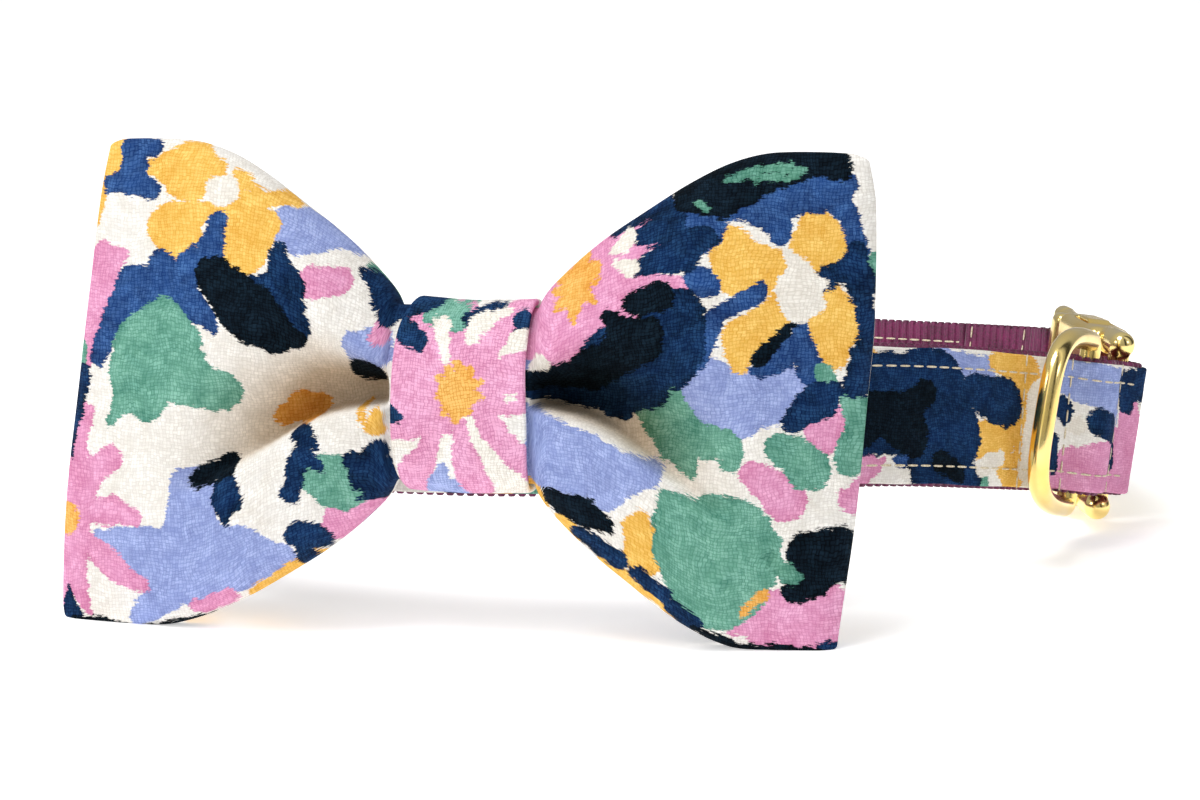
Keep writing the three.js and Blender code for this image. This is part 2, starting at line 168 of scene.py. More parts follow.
camera = bpy.data.objects.new("camera", bpy.data.cameras.new("camera"))
scene.collection.objects.link(camera)
camera.data.lens = view["lens"]
camera.data.clip_end = 10
turnRound, lookDown = math.radians(view["round"]), math.radians(view["above"])
away = Vector((math.sin(turnRound) * math.cos(lookDown), -math.cos(turnRound) * math.cos(lookDown),
               math.sin(lookDown)))
camera.location = (Vector(view["middle"]) + away * view["away"]) * mm
camera.rotation_euler = away.to_track_quat("Z", "Y").to_euler()
scene.camera = camera

lights = [  # places and sizes in metres, power in watts
    {"name": "overhead", "place": (-0.25, -0.3, 1.1), "size": 0.5, "power": 8.0, "colour": (1.0, 1.0, 1.0)},
    {"name": "leftSoft", "place": (-1.1, -0.7, 0.75), "size": 0.4, "power": 2.7,
     "colour": (1.0, 0.99, 0.97)},
    {"name": "rightSoft", "place": (1.1, -0.5, 0.6), "size": 0.3, "power": 1.2,
     "colour": (0.98, 0.99, 1.0)},
]
aimedAt = Vector((0, -0.05, 0.04))
for light in lights:
    lamp = bpy.data.lights.new(light["name"], "AREA")
    lamp.size = light["size"]
    lamp.energy = light["power"]
    lamp.color = light["colour"]
    lampObject = bpy.data.objects.new(light["name"], lamp)
    lampObject.location = light["place"]
    lampObject.rotation_euler = (Vector(light["place"]) - aimedAt).to_track_quat("Z", "Y").to_euler()
    scene.collection.objects.link(lampObject)

world = bpy.data.worlds.new("studio")
scene.world = world
world.use_nodes = True
scene.view_settings.view_transform = "Standard"
# the sky's brightness low and high, and the cards hung round it: heading and half width in degrees,
# and how much each adds or takes away
studio = {"low": 0.34, "high": 0.56, "cardEdge": 0.6,
          "cards": ((40, 13, -0.9), (-64, 12, -0.6), (118, 16, -0.9), (-24, 13, 1.9), (80, 10, 0.8))}


def srgb(red, green, blue):
    return tuple((c / 255 / 12.92 if c <= 10 else ((c / 255 + 0.055) / 1.055) ** 2.4)
                 for c in (red, green, blue)) + (1.0,)


# a node in a tree, with values for its sockets, which may be other nodes' outputs
def node(tree, kind, inputs=None, **settings):
    made = tree.nodes.new(kind)
    for key, value in settings.items():
        setattr(made, key, value)
    for key, value in (inputs or {}).items():
        if isinstance(value, bpy.types.NodeSocket):
            tree.links.new(value, made.inputs[key])
        else:
            made.inputs[key].default_value = value
    return made


def sums(tree, operation, first, second=0.0, third=0.0, clamp=False):
    return node(tree, "ShaderNodeMath", {0: first, 1: second, 2: third},
                operation=operation, use_clamp=clamp).outputs[0]


# a value's range carried to another range
def spread(tree, value, low, high, toLow=0.0, toHigh=1.0, clamp=True):
    return node(tree, "ShaderNodeMapRange", {0: value, 1: low, 2: high, 3: toLow, 4: toHigh},
                clamp=clamp).outputs[0]


def noise(tree, place, scale, detail, roughness=0.5, distortion=0.0, output=0):
    return node(tree, "ShaderNodeTexNoise", {
        "Vector": place, "Scale": scale, "Detail": detail, "Roughness": roughness,
        "Distortion": distortion}).outputs[output]


def lightWorld():
    tree = world.node_tree
    facing = node(tree, "ShaderNodeTexCoord").outputs["Generated"]
    parts = node(tree, "ShaderNodeSeparateXYZ", {0: facing}).outputs
    strength = spread(tree, parts[2], 0.0, 1.0, studio["low"], studio["high"])
    heading = sums(tree, "ARCTAN2", parts[0], sums(tree, "MULTIPLY", parts[1], -1.0))
    for middle, half, amount in studio["cards"]:  # the metal shows them as dark and bright streaks
        off = sums(tree, "ABSOLUTE", sums(tree, "SUBTRACT", heading, math.radians(middle)))
        card = spread(tree, off, math.radians(half), math.radians(half * studio["cardEdge"]), 0.0, amount)
        strength = sums(tree, "MULTIPLY", strength, sums(tree, "ADD", 1.0, card))
    tree.links.new(strength, tree.nodes["Background"].inputs["Strength"])
    tree.nodes["Background"].inputs["Color"].default_value = (1.0, 1.0, 1.0, 1)


def blendColour(tree, factor, first, second, way="MIX"):
    made = node(tree, "ShaderNodeMix", {0: factor, 6: first, 7: second}, data_type="RGBA", blend_type=way)
    return made.outputs[2]


def newGroup(name, inputs, outputs):
    tree = bpy.data.node_groups.new(name, "ShaderNodeTree")
    for socket, kind, value in inputs:
        made = tree.interface.new_socket(socket, in_out="INPUT", socket_type="NodeSocket" + kind)
        if value is not None:
            made.default_value = value
    for socket, kind in outputs:
        tree.interface.new_socket(socket, in_out="OUTPUT", socket_type="NodeSocket" + kind)
    return tree, tree.nodes.new("NodeGroupInput").outputs, tree.nodes.new("NodeGroupOutput").inputs


# plain weave: rows of threads over and under each other, and slubs where a thread is thicker
threads = {"wanderScale": 0.13, "wander": 3.5, "crown": 0.75, "slubAlong": 0.35, "slubAcross": 2.4,
           "share": 0.7, "shadeLow": 0.75, "shadeHigh": 1.8}


def makeWeave():
    tree, given, result = newGroup(
        "plainWeave",
        [("Place", "Vector", None), ("Pitch", "Float", 0.45), ("Slub", "Float", 0.4)],
        [("Height", "Float"), ("Shade", "Float")])
    push = node(tree, "ShaderNodeVectorMath", {
        0: noise(tree, given["Place"], threads["wanderScale"], 1.0, output="Color"), 1: (0.5, 0.5, 0.5)},
        operation="SUBTRACT").outputs[0]
    bent = node(tree, "ShaderNodeVectorMath", {
        0: push, 1: (threads["wander"], threads["wander"], 0.0), 2: given["Place"]},
        operation="MULTIPLY_ADD").outputs[0]
    parts = node(tree, "ShaderNodeSeparateXYZ", {0: bent}).outputs
    u = sums(tree, "DIVIDE", parts[0], given["Pitch"])
    v = sums(tree, "DIVIDE", parts[1], given["Pitch"])
    cellU, cellV = sums(tree, "FLOOR", u), sums(tree, "FLOOR", v)
    warp = sums(tree, "ABSOLUTE", sums(tree, "SINE", sums(tree, "MULTIPLY", u, math.pi)))
    weft = sums(tree, "ABSOLUTE", sums(tree, "SINE", sums(tree, "MULTIPLY", v, math.pi)))
    over = sums(tree, "GREATER_THAN", sums(tree, "PINGPONG", sums(tree, "ADD", cellU, cellV), 1.0), 0.5)

    def byThread(first, second):
        return node(tree, "ShaderNodeMix", {0: over, 2: first, 3: second}, data_type="FLOAT").outputs[0]

    def slubsAlong(stretch):
        place = node(tree, "ShaderNodeMapping", {0: given["Place"], 3: stretch}).outputs[0]
        return noise(tree, place, 1.0, 1.0)

    slub = byThread(slubsAlong((threads["slubAcross"], threads["slubAlong"], 1.0)),
                    slubsAlong((threads["slubAlong"], threads["slubAcross"], 1.0)))
    lifted = sums(tree, "MULTIPLY_ADD", slub, given["Slub"],
                  sums(tree, "POWER", byThread(warp, weft), threads["crown"]))
    tree.links.new(lifted, result["Height"])
    # each crossing holds its own share of ink
    crossing = node(tree, "ShaderNodeCombineXYZ", {0: cellU, 1: cellV}).outputs[0]
    share = node(tree, "ShaderNodeTexWhiteNoise", {"Vector": crossing}).outputs["Value"]
    inked = sums(tree, "MULTIPLY_ADD", share, threads["share"], lifted)
    tree.links.new(spread(tree, inked, threads["shadeLow"], threads["shadeHigh"]), result["Shade"])
    return tree


# one colour of the print laid over what is below it, where its distance is less than nothing;
# its rim holds more ink
inkEdge = {"soft": 0.1, "rim": 1.4, "rimInk": 0.3}


def makePaint():
    tree, given, result = newGroup(
        "brushedPaint",
        [("Below", "Color", None), ("Light", "Color", None), ("Dark", "Color", None),
         ("Distance", "Float", 1.0), ("Ragged", "Float", 0.0), ("Pool", "Float", 0.5)],
        [("Colour", "Color")])
    edge = sums(tree, "ADD", given["Distance"], given["Ragged"])
    mask = spread(tree, edge, inkEdge["soft"], -inkEdge["soft"])
    rim = spread(tree, edge, -inkEdge["rim"], 0.0, 0.0, inkEdge["rimInk"])
    dark = sums(tree, "ADD", given["Pool"], rim, clamp=True)
    paint = blendColour(tree, dark, given["Light"], given["Dark"])
    tree.links.new(blendColour(tree, mask, given["Below"], paint), result["Colour"])
    return tree


lightWorld()
weave = makeWeave()
brushedPaint = makePaint()

printColours = {  # light and dark of each colour, from the bottom layer to the top one
    "periwinkle": (srgb(150, 168, 228), srgb(122, 139, 200)),
    "pink": (srgb(236, 154, 198), srgb(214, 120, 164)),
    "yellow": (srgb(253, 197, 86), srgb(240, 172, 62)),
    "midBlue": (srgb(34, 72, 138), srgb(12, 32, 78)),
    "green": (srgb(104, 170, 146), srgb(58, 126, 106)),
    "navy": (srgb(8, 36, 80), srgb(1, 10, 26)),
    # near black is a print colour, and also stands for painted shade where the charts lay it in the right
    # wing's hollow and along the bottom edges
    "nearBlack": (srgb(2, 9, 19), srgb(0, 2, 5)),
    "sage": (srgb(88, 154, 128), srgb(46, 106, 90)),
    "orange": (srgb(250, 184, 84), srgb(236, 152, 52)),
    "cream": (srgb(246, 241, 230), srgb(238, 230, 216)),
}


def newMaterial(name):
    material = bpy.data.materials.new(name)
    material.use_nodes = True
    tree = material.node_tree
    return material, tree, tree.nodes["Principled BSDF"]


# what changes over a surface, joined to its shader
def finish(tree, shader, colour, rough, height=None, strength=0.0, deep=0.0):
    tree.links.new(colour, shader.inputs["Base Color"])
    tree.links.new(rough, shader.inputs["Roughness"])
    if height is not None:
        bump = node(tree, "ShaderNodeBump", {"Height": height, "Strength": strength, "Distance": deep})
        tree.links.new(bump.outputs[0], shader.inputs["Normal"])


# the warm dark tint listed for the pleat folds is painted shade
cotton = {"cloth": (srgb(249, 246, 239), srgb(240, 234, 222)), "slub": 0.5, "ragged": 0.6, "pool": 0.7,
          "paler": 0.66, "deeper": (0.78, 0.77, 0.77, 1), "paintedFoldShade": (0.7, 0.57, 0.43, 1),
          "bump": 0.6, "deep": 0.00012, "shine": 0.06}


# printed cotton: cloth in millimetres from the piece's own map, colours from its own attributes
def makePrint(name, pitch, brushSlant, fleck):
    material, tree, shader = newMaterial(name)
    cloth = node(tree, "ShaderNodeUVMap", uv_map="cloth").outputs[0]
    woven = node(tree, "ShaderNodeGroup", {"Place": cloth, "Pitch": pitch, "Slub": cotton["slub"]},
                 node_tree=weave).outputs
    brush = node(tree, "ShaderNodeMapping", {0: cloth, 2: (0, 0, brushSlant), 3: (0.5, 1.6, 1.0)}).outputs[0]
    ragged = spread(tree, noise(tree, brush, 1.3, 4.0, 0.7), 0.3, 0.7, -cotton["ragged"], cotton["ragged"],
                    clamp=False)
    pool = spread(tree, noise(tree, cloth, 0.16, 5.0, 0.62, 0.6), 0.36, 0.66, 0.0, cotton["pool"])
    colour = blendColour(tree, pool, *cotton["cloth"])
    for key, (light, dark) in printColours.items():
        distance = node(tree, "ShaderNodeAttribute", attribute_name=key).outputs["Fac"]
        colour = node(tree, "ShaderNodeGroup", {
            "Below": colour, "Light": light, "Dark": dark, "Distance": distance,
            "Ragged": ragged, "Pool": pool}, node_tree=brushedPaint).outputs["Colour"]
    # the crowns of the threads hold less ink, in some places more than in others
    worn = spread(tree, noise(tree, cloth, 0.35, 2.0), 0.35, 0.7, 0.45, 1.0)
    bare = sums(tree, "MULTIPLY", sums(tree, "MULTIPLY", woven["Shade"], worn), fleck, clamp=True)
    paler = node(tree, "ShaderNodeGamma", {"Color": colour, "Gamma": cotton["paler"]}).outputs[0]
    deeper = blendColour(tree, 1.0, colour, cotton["deeper"], "MULTIPLY")
    colour = blendColour(tree, bare, deeper, paler)
    # painted shade: deep pleat folds are darkened and warmed by a painted tint, in place of the shade and the
    # light passed from cloth to cloth there
    paintedFoldShade = node(tree, "ShaderNodeAttribute", attribute_name="paintedFoldShade").outputs["Fac"]
    colour = blendColour(tree, paintedFoldShade, colour, blendColour(tree, 1.0, colour, cotton["paintedFoldShade"], "MULTIPLY"))
    finish(tree, shader, colour, spread(tree, woven["Shade"], 0.0, 1.0, 0.93, 0.8), woven["Height"],
           cotton["bump"], cotton["deep"])
    shader.inputs["Specular IOR Level"].default_value = cotton["shine"]
    return material


cottonOnBow = makePrint("printedCottonBow", 0.62, 0.35, 1.1)
cottonOnWrap = makePrint("printedCottonWrap", 0.58, -0.3, 1.8)
cottonOnStrap = makePrint("printedCottonStrap", 0.5, 0.6, 1.0)


def makeNylon():
    material, tree, shader = newMaterial("magentaNylon")
    place = node(tree, "ShaderNodeTexCoord").outputs["Object"]
    fibres, blotch = noise(tree, place, 2600.0, 3.0), noise(tree, place, 180.0, 2.0)
    fleck = sums(tree, "MULTIPLY_ADD", blotch, 0.4, sums(tree, "MULTIPLY", fibres, 0.6))
    colour = blendColour(tree, spread(tree, fleck, 0.35, 0.68), srgb(62, 6, 40), srgb(136, 32, 94))
    finish(tree, shader, colour, spread(tree, fibres, 0.0, 1.0, 0.42, 0.62), fibres, 0.5, 0.0001)
    shader.inputs["Sheen Weight"].default_value = 0.2
    return material


def makeThread():
    material, tree, shader = newMaterial("creamThread")
    twist = noise(tree, node(tree, "ShaderNodeTexCoord").outputs["Object"], 3500.0, 2.0)
    colour = blendColour(tree, spread(tree, twist, 0.35, 0.65), srgb(186, 168, 136), srgb(236, 226, 202))
    finish(tree, shader, colour, spread(tree, twist, 0.0, 1.0, 0.55, 0.75))
    return material


def makeGold():
    material, tree, shader = newMaterial("polishedGold")
    place = node(tree, "ShaderNodeTexCoord").outputs["Object"]
    smear = noise(tree, place, 90.0, 3.0)
    scratch = node(tree, "ShaderNodeMapping", {0: place, 3: (700.0, 4000.0, 500.0)}).outputs[0]
    hair = noise(tree, scratch, 1.0, 2.0)
    colour = blendColour(tree, spread(tree, smear, 0.35, 0.7), srgb(255, 231, 158), srgb(250, 216, 122))
    both = sums(tree, "MULTIPLY_ADD", hair, 0.5, smear)
    finish(tree, shader, colour, spread(tree, both, 0.5, 1.0, 0.12, 0.26), hair, 0.06, 0.00005)
    shader.inputs["Metallic"].default_value = 1.0
    return material


nylon = makeNylon()
thread = makeThread()
gold = makeGold()
print("materials made")

# the print's chart: brush strokes on the cloth in millimetres, from one end to the other with the
# brush's half width at each end; the cloth repeats every so many millimetres both ways. Some near-black
# strokes, marked below, are partly painted shade.
repeatSize = (146, 90)
printChart = {
    "periwinkle": [
        (-32, 36, -28, 34, 1, 3), (-28, 33, -22, 32, 3, 1), (-22, 32, -19, 30, 1, 0),
        (-34, 33, -30, 33, 0, 2), (-18, 14, -15, 14, 2, 3), (-17, 12, -15, 11, 2, 1),
        (-64, -21, -56, -23, 1, 4), (-56, -23, -50, -25, 4, 6), (-50, -25, -38, -23, 6, 5),
        (-38, -23, -31, -23, 5, 2), (-47, -20, -46, -12, 5, 4), (-48, -11, -48, -9, 1, 0),
        (-52, -30, -58, -35, 3, 1), (-50, -29, -46, -29, 3, 2), (12, 1, 15, -3, 3, 6),
        (15, -3, 20, -5, 6, 6), (20, -5, 26, -7, 6, 5), (26, -7, 33, -6, 5, 2), (43, 11, 47, 7, 3, 6),
        (47, 7, 55, 8, 5, 4), (55, 9, 59, 10, 3, 2), (40, 9, 43, 6, 2, 3), (11, 12, 11, 13, 1, 1),
    ],
    "pink": [
        (-65, 27, -62, 28, 3, 1), (-66, 26, -65, 21, 3, 4), (-66, 20, -67, 13, 4, 2),
        (-67, 13, -69, 9, 2, 0), (-26, 25, -22, 25, 2, 2), (-71, -18, -70, -18, 3, 3),
        (-70, -12, -68, 1, 2, 1), (-62, -7, -67, -10, 1, 2), (-67, -10, -70, -14, 2, 2),
        (-69, -16, -62, -16, 1, 2), (-62, -16, -58, -17, 2, 1), (-69, -20, -62, -26, 1, 2),
        (-62, -26, -57, -29, 2, 1), (-70, -22, -69, -30, 2, 1), (-69, -30, -67, -35, 1, 0),
        (-72, -23, -72, -34, 2, 1), (-71, -9, -72, -14, 1, 2), (-23, -18, -20, -17, 1, 3),
        (-20, -16, -13, -13, 3, 2), (-46, -32, -41, -30, 1, 1), (-14, 19, -14, 16, 0, 1),
        (19, 25, 22, 25, 5, 5), (22, 29, 33, 38, 2, 1), (24, 30, 35, 35, 2, 1), (24, 27, 39, 26, 3, 1),
        (22, 22, 29, 21, 4, 2), (19, 20, 24, 14, 5, 3), (14, 18, 17, 12, 3, 3), (13, 14, 20, 12, 1, 2),
        (16, 22, 14, 18, 3, 3), (51, -6, 56, -10, 2, 3), (56, -10, 58, -11, 3, 1), (64, 4, 62, 1, 2, 3),
        (68, -8, 67, -10, 1, 2), (48, -32, 53, -30, 1, 3), (53, -30, 62, -30, 4, 5),
        (54, -33, 63, -33, 3, 3),
    ],
    "yellow": [
        (-64, 47, -66, 42, 3, 1), (-67, 40, -68, 33, 1, 0), (-56, 44, -49, 44, 1, 4),
        (-49, 44, -44, 44, 4, 1), (-52, 41, -48, 41, 1, 2), (-40, 42, -37, 41, 1, 0),
        (-38, 39, -33, 39, 1, 1), (-33, 39, -30, 38, 1, 0), (-52, 33, -50, 31, 4, 4),
        (-51, 35, -45, 37, 3, 1), (-50, 31, -50, 29, 3, 1), (-40, 36, -38, 31, 3, 4),
        (-38, 31, -38, 28, 4, 2), (-39, 37, -36, 34, 1, 3), (-17, 4, -16, 2, 0, 0),
        (-14, 3, -14, 1, 0, 1), (46, 33, 48, 29, 3, 4), (48, 30, 53, 29, 4, 3), (46, 28, 52, 27, 2, 2),
        (60, 38, 61, 33, 2, 5), (61, 33, 62, 30, 5, 3), (60, 34, 58, 31, 3, 2), (63, 23, 64, 20, 3, 4),
        (64, 20, 64, 15, 4, 2), (62, 22, 63, 19, 2, 3), (55, 23, 53, 20, 1, 3), (53, 20, 48, 17, 3, 2),
        (48, 16, 48, 13, 2, 1), (32, -15, 33, -19, 2, 4), (33, -19, 36, -19, 3, 1),
        (31, -20, 32, -22, 2, 1), (11, -9, 14, -12, 1, 1), (18, -15, 20, -17, 1, 1),
        (25, -21, 31, -26, 1, 1), (32, -26, 38, -30, 1, 1), (-36, -30, -25, -23, 1, 1),
    ],
    "midBlue": [
        (-60, 47, -57, 47, 2, 1), (-60, 47, -60, 42, 2, 2), (-60, 42, -65, 41, 2, 1),
        (-60, 42, -56, 40, 2, 1), (-66, 11, -62, 18, 1, 2), (-62, 18, -59, 22, 2, 3),
        (-59, 23, -50, 22, 3, 4), (-50, 22, -44, 18, 4, 1), (-44, 18, -43, 16, 1, 0),
        (-54, 27, -51, 24, 2, 2), (-49, 25, -44, 30, 3, 2), (-44, 30, -43, 35, 2, 1),
        (36, 37, 41, 36, 3, 4), (41, 37, 46, 39, 3, 1), (46, 39, 52, 40, 1, 3), (52, 40, 54, 35, 3, 1),
        (54, 41, 63, 43, 3, 3), (63, 42, 66, 38, 2, 1), (66, 38, 68, 31, 1, 1), (40, 28, 42, 27, 1, 2),
        (51, 25, 46, 22, 1, 1), (46, 22, 42, 18, 1, 2), (42, 18, 40, 14, 1, 2), (58, 19, 60, 12, 1, 2),
        (58, 16, 51, 12, 2, 1),
    ],
    "green": [
        (-53, 17, -55, 12, 4, 7), (-55, 12, -56, 6, 7, 5), (-50, 14, -50, 9, 4, 5),
        (-50, 8, -42, 6, 4, 3), (-57, 4, -61, 2, 2, 1), (-61, 2, -63, -1, 1, 0), (-59, 9, -59, 5, 4, 3),
        (-17, 28, -12, 24, 0, 1), (-24, -8, -19, -9, 3, 4), (-22, -11, -20, -12, 2, 1),
        (-70, 12, -70, 5, 1, 0), (70, 31, 70, 27, 1, 1), (66, 8, 69, 3, 1, 2), (69, 3, 67, -3, 2, 2),
        (62, 12, 63, 10, 1, 1), (34, 10, 34, 8, 3, 4), (34, 7, 38, 0, 4, 4), (38, 0, 40, -5, 4, 1),
        (41, 0, 46, -1, 3, 2), (47, -1, 47, -4, 1, 1), (36, -10, 40, -11, 1, 1),
        (38, -13, 44, -15, 3, 5), (43, -18, 45, -19, 8, 9), (47, -19, 45, -24, 8, 8),
        (44, -25, 43, -28, 6, 3), (39, -14, 38, -12, 3, 2), (55, -1, 60, -5, 2, 3),
    ],
    "navy": [
        (-32, 30, -31, 26, 1, 2), (-35, 25, -30, 24, 1, 3), (-30, 24, -28, 17, 2, 2),
        (-18, 27, -15, 25, 0, 1), (-15, 25, -12, 21, 1, 2), (-14, 22, -13, 19, 1, 1),
        (-69, 8, -70, 0, 1, 1), (-70, 0, -71, -7, 1, 0), (-71, -30, -71, -36, 0, 2),
        (-27, -1, -24, -3, 1, 0), (-26, -4, -23, -7, 1, 0), (-26, -2, -26, -5, 0, 1),
        (-27, -6, -29, -12, 1, 1), (-18, -5, -15, -7, 1, 3), (-15, -4, -14, -3, 1, 1),
        (-15, -8, -12, -12, 3, 1), (-17, -12, -13, -11, 0, 1), (-13, -8, -10, -9, 2, 2),
        (-41, -8, -40, -13, 1, 2), (-40, -13, -40, -17, 2, 0), (-27, -19, -25, -19, 2, 2),
        (-27, -22, -28, -24, 1, 0), (31, 29, 38, 32, 1, 3), (38, 33, 43, 34, 2, 1),
        (31, 34, 36, 37, 1, 2), (25, 34, 34, 40, 0, 1), (32, 24, 37, 21, 1, 5), (37, 20, 36, 14, 5, 5),
        (34, 15, 27, 12, 5, 6), (28, 10, 27, 6, 5, 3), (24, 9, 14, 8, 4, 2), (33, 9, 30, 8, 3, 3),
        (61, 27, 66, 30, 1, 1), (67, 33, 68, 26, 1, 2), (68, 26, 69, 17, 1, 1), (69, 17, 68, 10, 1, 2),
        (57, 3, 61, 7, 1, 3), (61, 7, 64, 9, 2, 1), (21, -17, 28, -21, 1, 1), (31, -23, 36, -27, 1, 1),
        (37, -29, 41, -32, 1, 1), (63, -36, 65, -36, 1, 1),
    ],
    "nearBlack": [
        (-43, 26, -37, 20, 3, 5), (-37, 20, -32, 16, 4, 3), (-31, 16, -28, 15, 2, 1),
        (-19, 10, -15, 9, 1, 1), (-45, -9, -40, -7, 1, 1), (-46, -10, -43, -8, 1, 1),
        (38, 41, 44, 42, 2, 4), (44, 42, 52, 46, 4, 3), (52, 47, 62, 48, 3, 2), (62, 47, 64, 46, 2, 1),
        # these four near-black strokes by the right wing's waist are navy print darkened to near black as
        # painted shade in the pleat's hollow
        (27, 20, 31, 17, 1, 4), (30, 23, 35, 24, 1, 2), (29, 15, 22, 11, 3, 3), (22, 11, 12, 9, 2, 1),
        (57, 20, 51, 14, 0, 1), (16, -11, 22, -13, 1, 2), (22, -13, 26, -15, 2, 1),
        (60, -19, 65, -17, 3, 2), (60, -22, 64, -20, 3, 4), (58, -25, 61, -24, 2, 2),
        # these near-black strokes along both wings' bottom edges are the back panel's dark print, and painted
        # shade on its downward face
        (-70, -37, -56, -38, 1, 1), (-56, -38, -44, -35, 1, 1), (41, -33, 46, -35, 0, 1),
        (46, -36, 66, -38, 1, 1),
    ],
    "sage": [
        (45, 44, 55, 47, 0, 0), (50, 44, 57, 46, 0, 0), (40, 40, 42, 39, 0, 0), (54, -20, 57, -23, 1, 1),
    ],
    "orange": [
        (-72, -18, -71, -18, 2, 2), (-32, 1, -28, 3, 1, 2), (-28, 3, -26, 4, 2, 1),
        (49, -30, 53, -26, 0, 0), (20, 26, 20, 24, 2, 2), (20, 30, 20, 20, 1, 0), (16, 27, 24, 23, 1, 0),
        (17, 22, 23, 28, 0, 1), (16, 24, 24, 26, 0, 0),
    ],
    "cream": [
        (-44, 41, -42, 40, 1, 2), (57, 27, 58, 24, 2, 3), (58, 29, 55, 32, 1, 0), (60, 27, 62, 27, 1, 0),
        (57, 23, 59, 21, 1, 0), (26, 31, 29, 34, 0, 1), (27, 29, 29, 29, 0, 1), (12, 11, 14, 12, 0, 1),
    ],
}
wrapRepeat = (30, 48)
starTips = [(0, 12), (2, 11), (4, 9), (4, 6), (2, 3), (0, 2), (-2, 3), (-3, 6), (-3, 9), (-2, 11)]
wrapChart = {
    "periwinkle": [(-3, -7, -4, -10, 1, 3), (-9, -11, 0, -11, 1, 2), (14, 0, 13, -6, 1, 1)],
    "pink": [(0, 7, 1, 7, 4, 4), (-4, 9, -11, 10, 4, 5), (-5, 4, -12, 3, 4, 4), (-2, 11, -8, 18, 2, 3),
             (0, 12, 0, 21, 1, 2), (2, 12, 8, 18, 2, 3), (9, 21, 12, 22, 1, 1), (5, 8, 12, 9, 4, 5),
             (3, 4, 12, -6, 2, 2), (0, 4, 3, -9, 1, 2), (-2, 2, -9, -9, 1, 2)],
    "green": [(-4, 20, -1, 20, 2, 2), (0, 23, 2, 23, 0, 0)],
    "navy": [(-11, 21, -5, 22, 2, 1), (-11, 18, -7, 15, 1, 1), (-13, 3, -10, 2, 1, 0),
             (2, 20, 7, 22, 1, 0), (11, 20, 11, 18, 1, 1)],
    "orange": [(0, 7, x, z, 1, 0) for x, z in starTips] + [(0, 7, 0, 6, 2, 2)],
    "cream": [(-2, 12, -3, 18, 0, 1), (2, 16, 3, 19, 0, 1), (3, 19, 8, 21, 1, 0), (7, 14, 11, 17, 0, 1),
              (9, 6, 10, 6, 0, 0), (2, 2, 6, -5, 0, 1), (6, -6, 9, -9, 1, 2), (-2, -1, -3, -4, 0, 0),
              (-12, -2, -8, -2, 0, 0), (-12, -4, -11, -7, 1, 0)],
}


# in millimetres: how far a stroke's edge wanders and its bristles reach, how softly strokes join, and
# how much wider they come out
brush = {"wander": 0.6, "wanderEvery": 5.0, "bristle": 0.4, "bristleEvery": 1.3, "join": 0.6,
         "wider": 0.7, "farthest": 20.0}


# distance to the nearest stroke of each colour, less than nothing inside it
def layPrint(obj, chart, u, v, seed, repeat=None):
    def bend(first):
        return (brush["wander"] * hills(u, v, brush["wanderEvery"], first)
                + brush["bristle"] * hills(u, v, brush["bristleEvery"], first + 1))

    bentU, bentV = u + bend(seed), v + bend(seed + 2)
    for key in printColours:
        best = np.full(len(u), brush["farthest"])
        for x0, z0, x1, z1, r0, r1 in chart.get(key, []):
            du, dv = bentU - x0, bentV - z0
            if repeat:
                middleU, middleV = (x1 - x0) / 2, (z1 - z0) / 2
                du = (du - middleU + repeat[0] / 2) % repeat[0] - repeat[0] / 2 + middleU
                dv = (dv - middleV + repeat[1] / 2) % repeat[1] - repeat[1] / 2 + middleV
            ax, az = x1 - x0, z1 - z0
            along = np.clip((du * ax + dv * az) / (ax * ax + az * az), 0, 1)
            away = np.hypot(du - ax * along, dv - az * along) - (r0 + (r1 - r0) * along)
            soft = np.clip(0.5 + 0.5 * (best - away) / brush["join"], 0, 1)
            best = best * (1 - soft) + away * soft - brush["join"] * soft * (1 - soft)
        setAttribute(obj, key, best - brush["wider"])


print("bow")
bow = {"middleZ": 6.0, "halfWidth": 69.6, "waistHalfWidth": 13.0, "edgeRound": 3.4, "upPower": 0.86,
       "outPower": 0.8, "pleatPower": 2.6, "paintedShadeFullAt": 9, "stations": 91, "halfSection": 160}
creases = {"deep": 0.75, "reach": 11, "often": 9, "shift": 1.7, "bend": 1.5}
slack = {"broad": 0.5, "broadEvery": 17, "fine": 0.16, "fineEvery": 6}
wingSections = [  # distance from the middle, half height, depth each side, middle depth, pleat depth
    {"x": 0, "halfHeight": 15.2, "depth": 9.2, "y": -13.3, "pleat": 0},
    {"x": 12.1, "halfHeight": 15.2, "depth": 9.2, "y": -13.3, "pleat": 0.4},
    {"x": 13.3, "halfHeight": 17.4, "depth": 9.8, "y": -13.4, "pleat": 8.5},
    {"x": 17, "halfHeight": 21.6, "depth": 11.4, "y": -13.5, "pleat": 13},
    {"x": 23, "halfHeight": 27, "depth": 12.8, "y": -13.5, "pleat": 13},
    {"x": 30, "halfHeight": 32, "depth": 13.4, "y": -13.4, "pleat": 10},
    {"x": 38, "halfHeight": 37.2, "depth": 12.8, "y": -13.2, "pleat": 5.5},
    {"x": 46, "halfHeight": 41, "depth": 11, "y": -12.8, "pleat": 1.5},
    {"x": 54, "halfHeight": 42.8, "depth": 8.8, "y": -12.4, "pleat": 0},
    {"x": 62, "halfHeight": 43, "depth": 6, "y": -12, "pleat": 0},
    {"x": 69.6, "halfHeight": 42.7, "depth": 3, "y": -11.8, "pleat": 0},
]
# the pleat's lower lip: its height, and how far above it the hollow reaches
pleatLip = [{"x": 9, "z": 6, "above": 2.5}, {"x": 16, "z": 5.4, "above": 5}, {"x": 25, "z": 2.8, "above": 10},
            {"x": 34, "z": -3, "above": 14}, {"x": 46, "z": -11, "above": 18}]
pleatBelow = 1.3
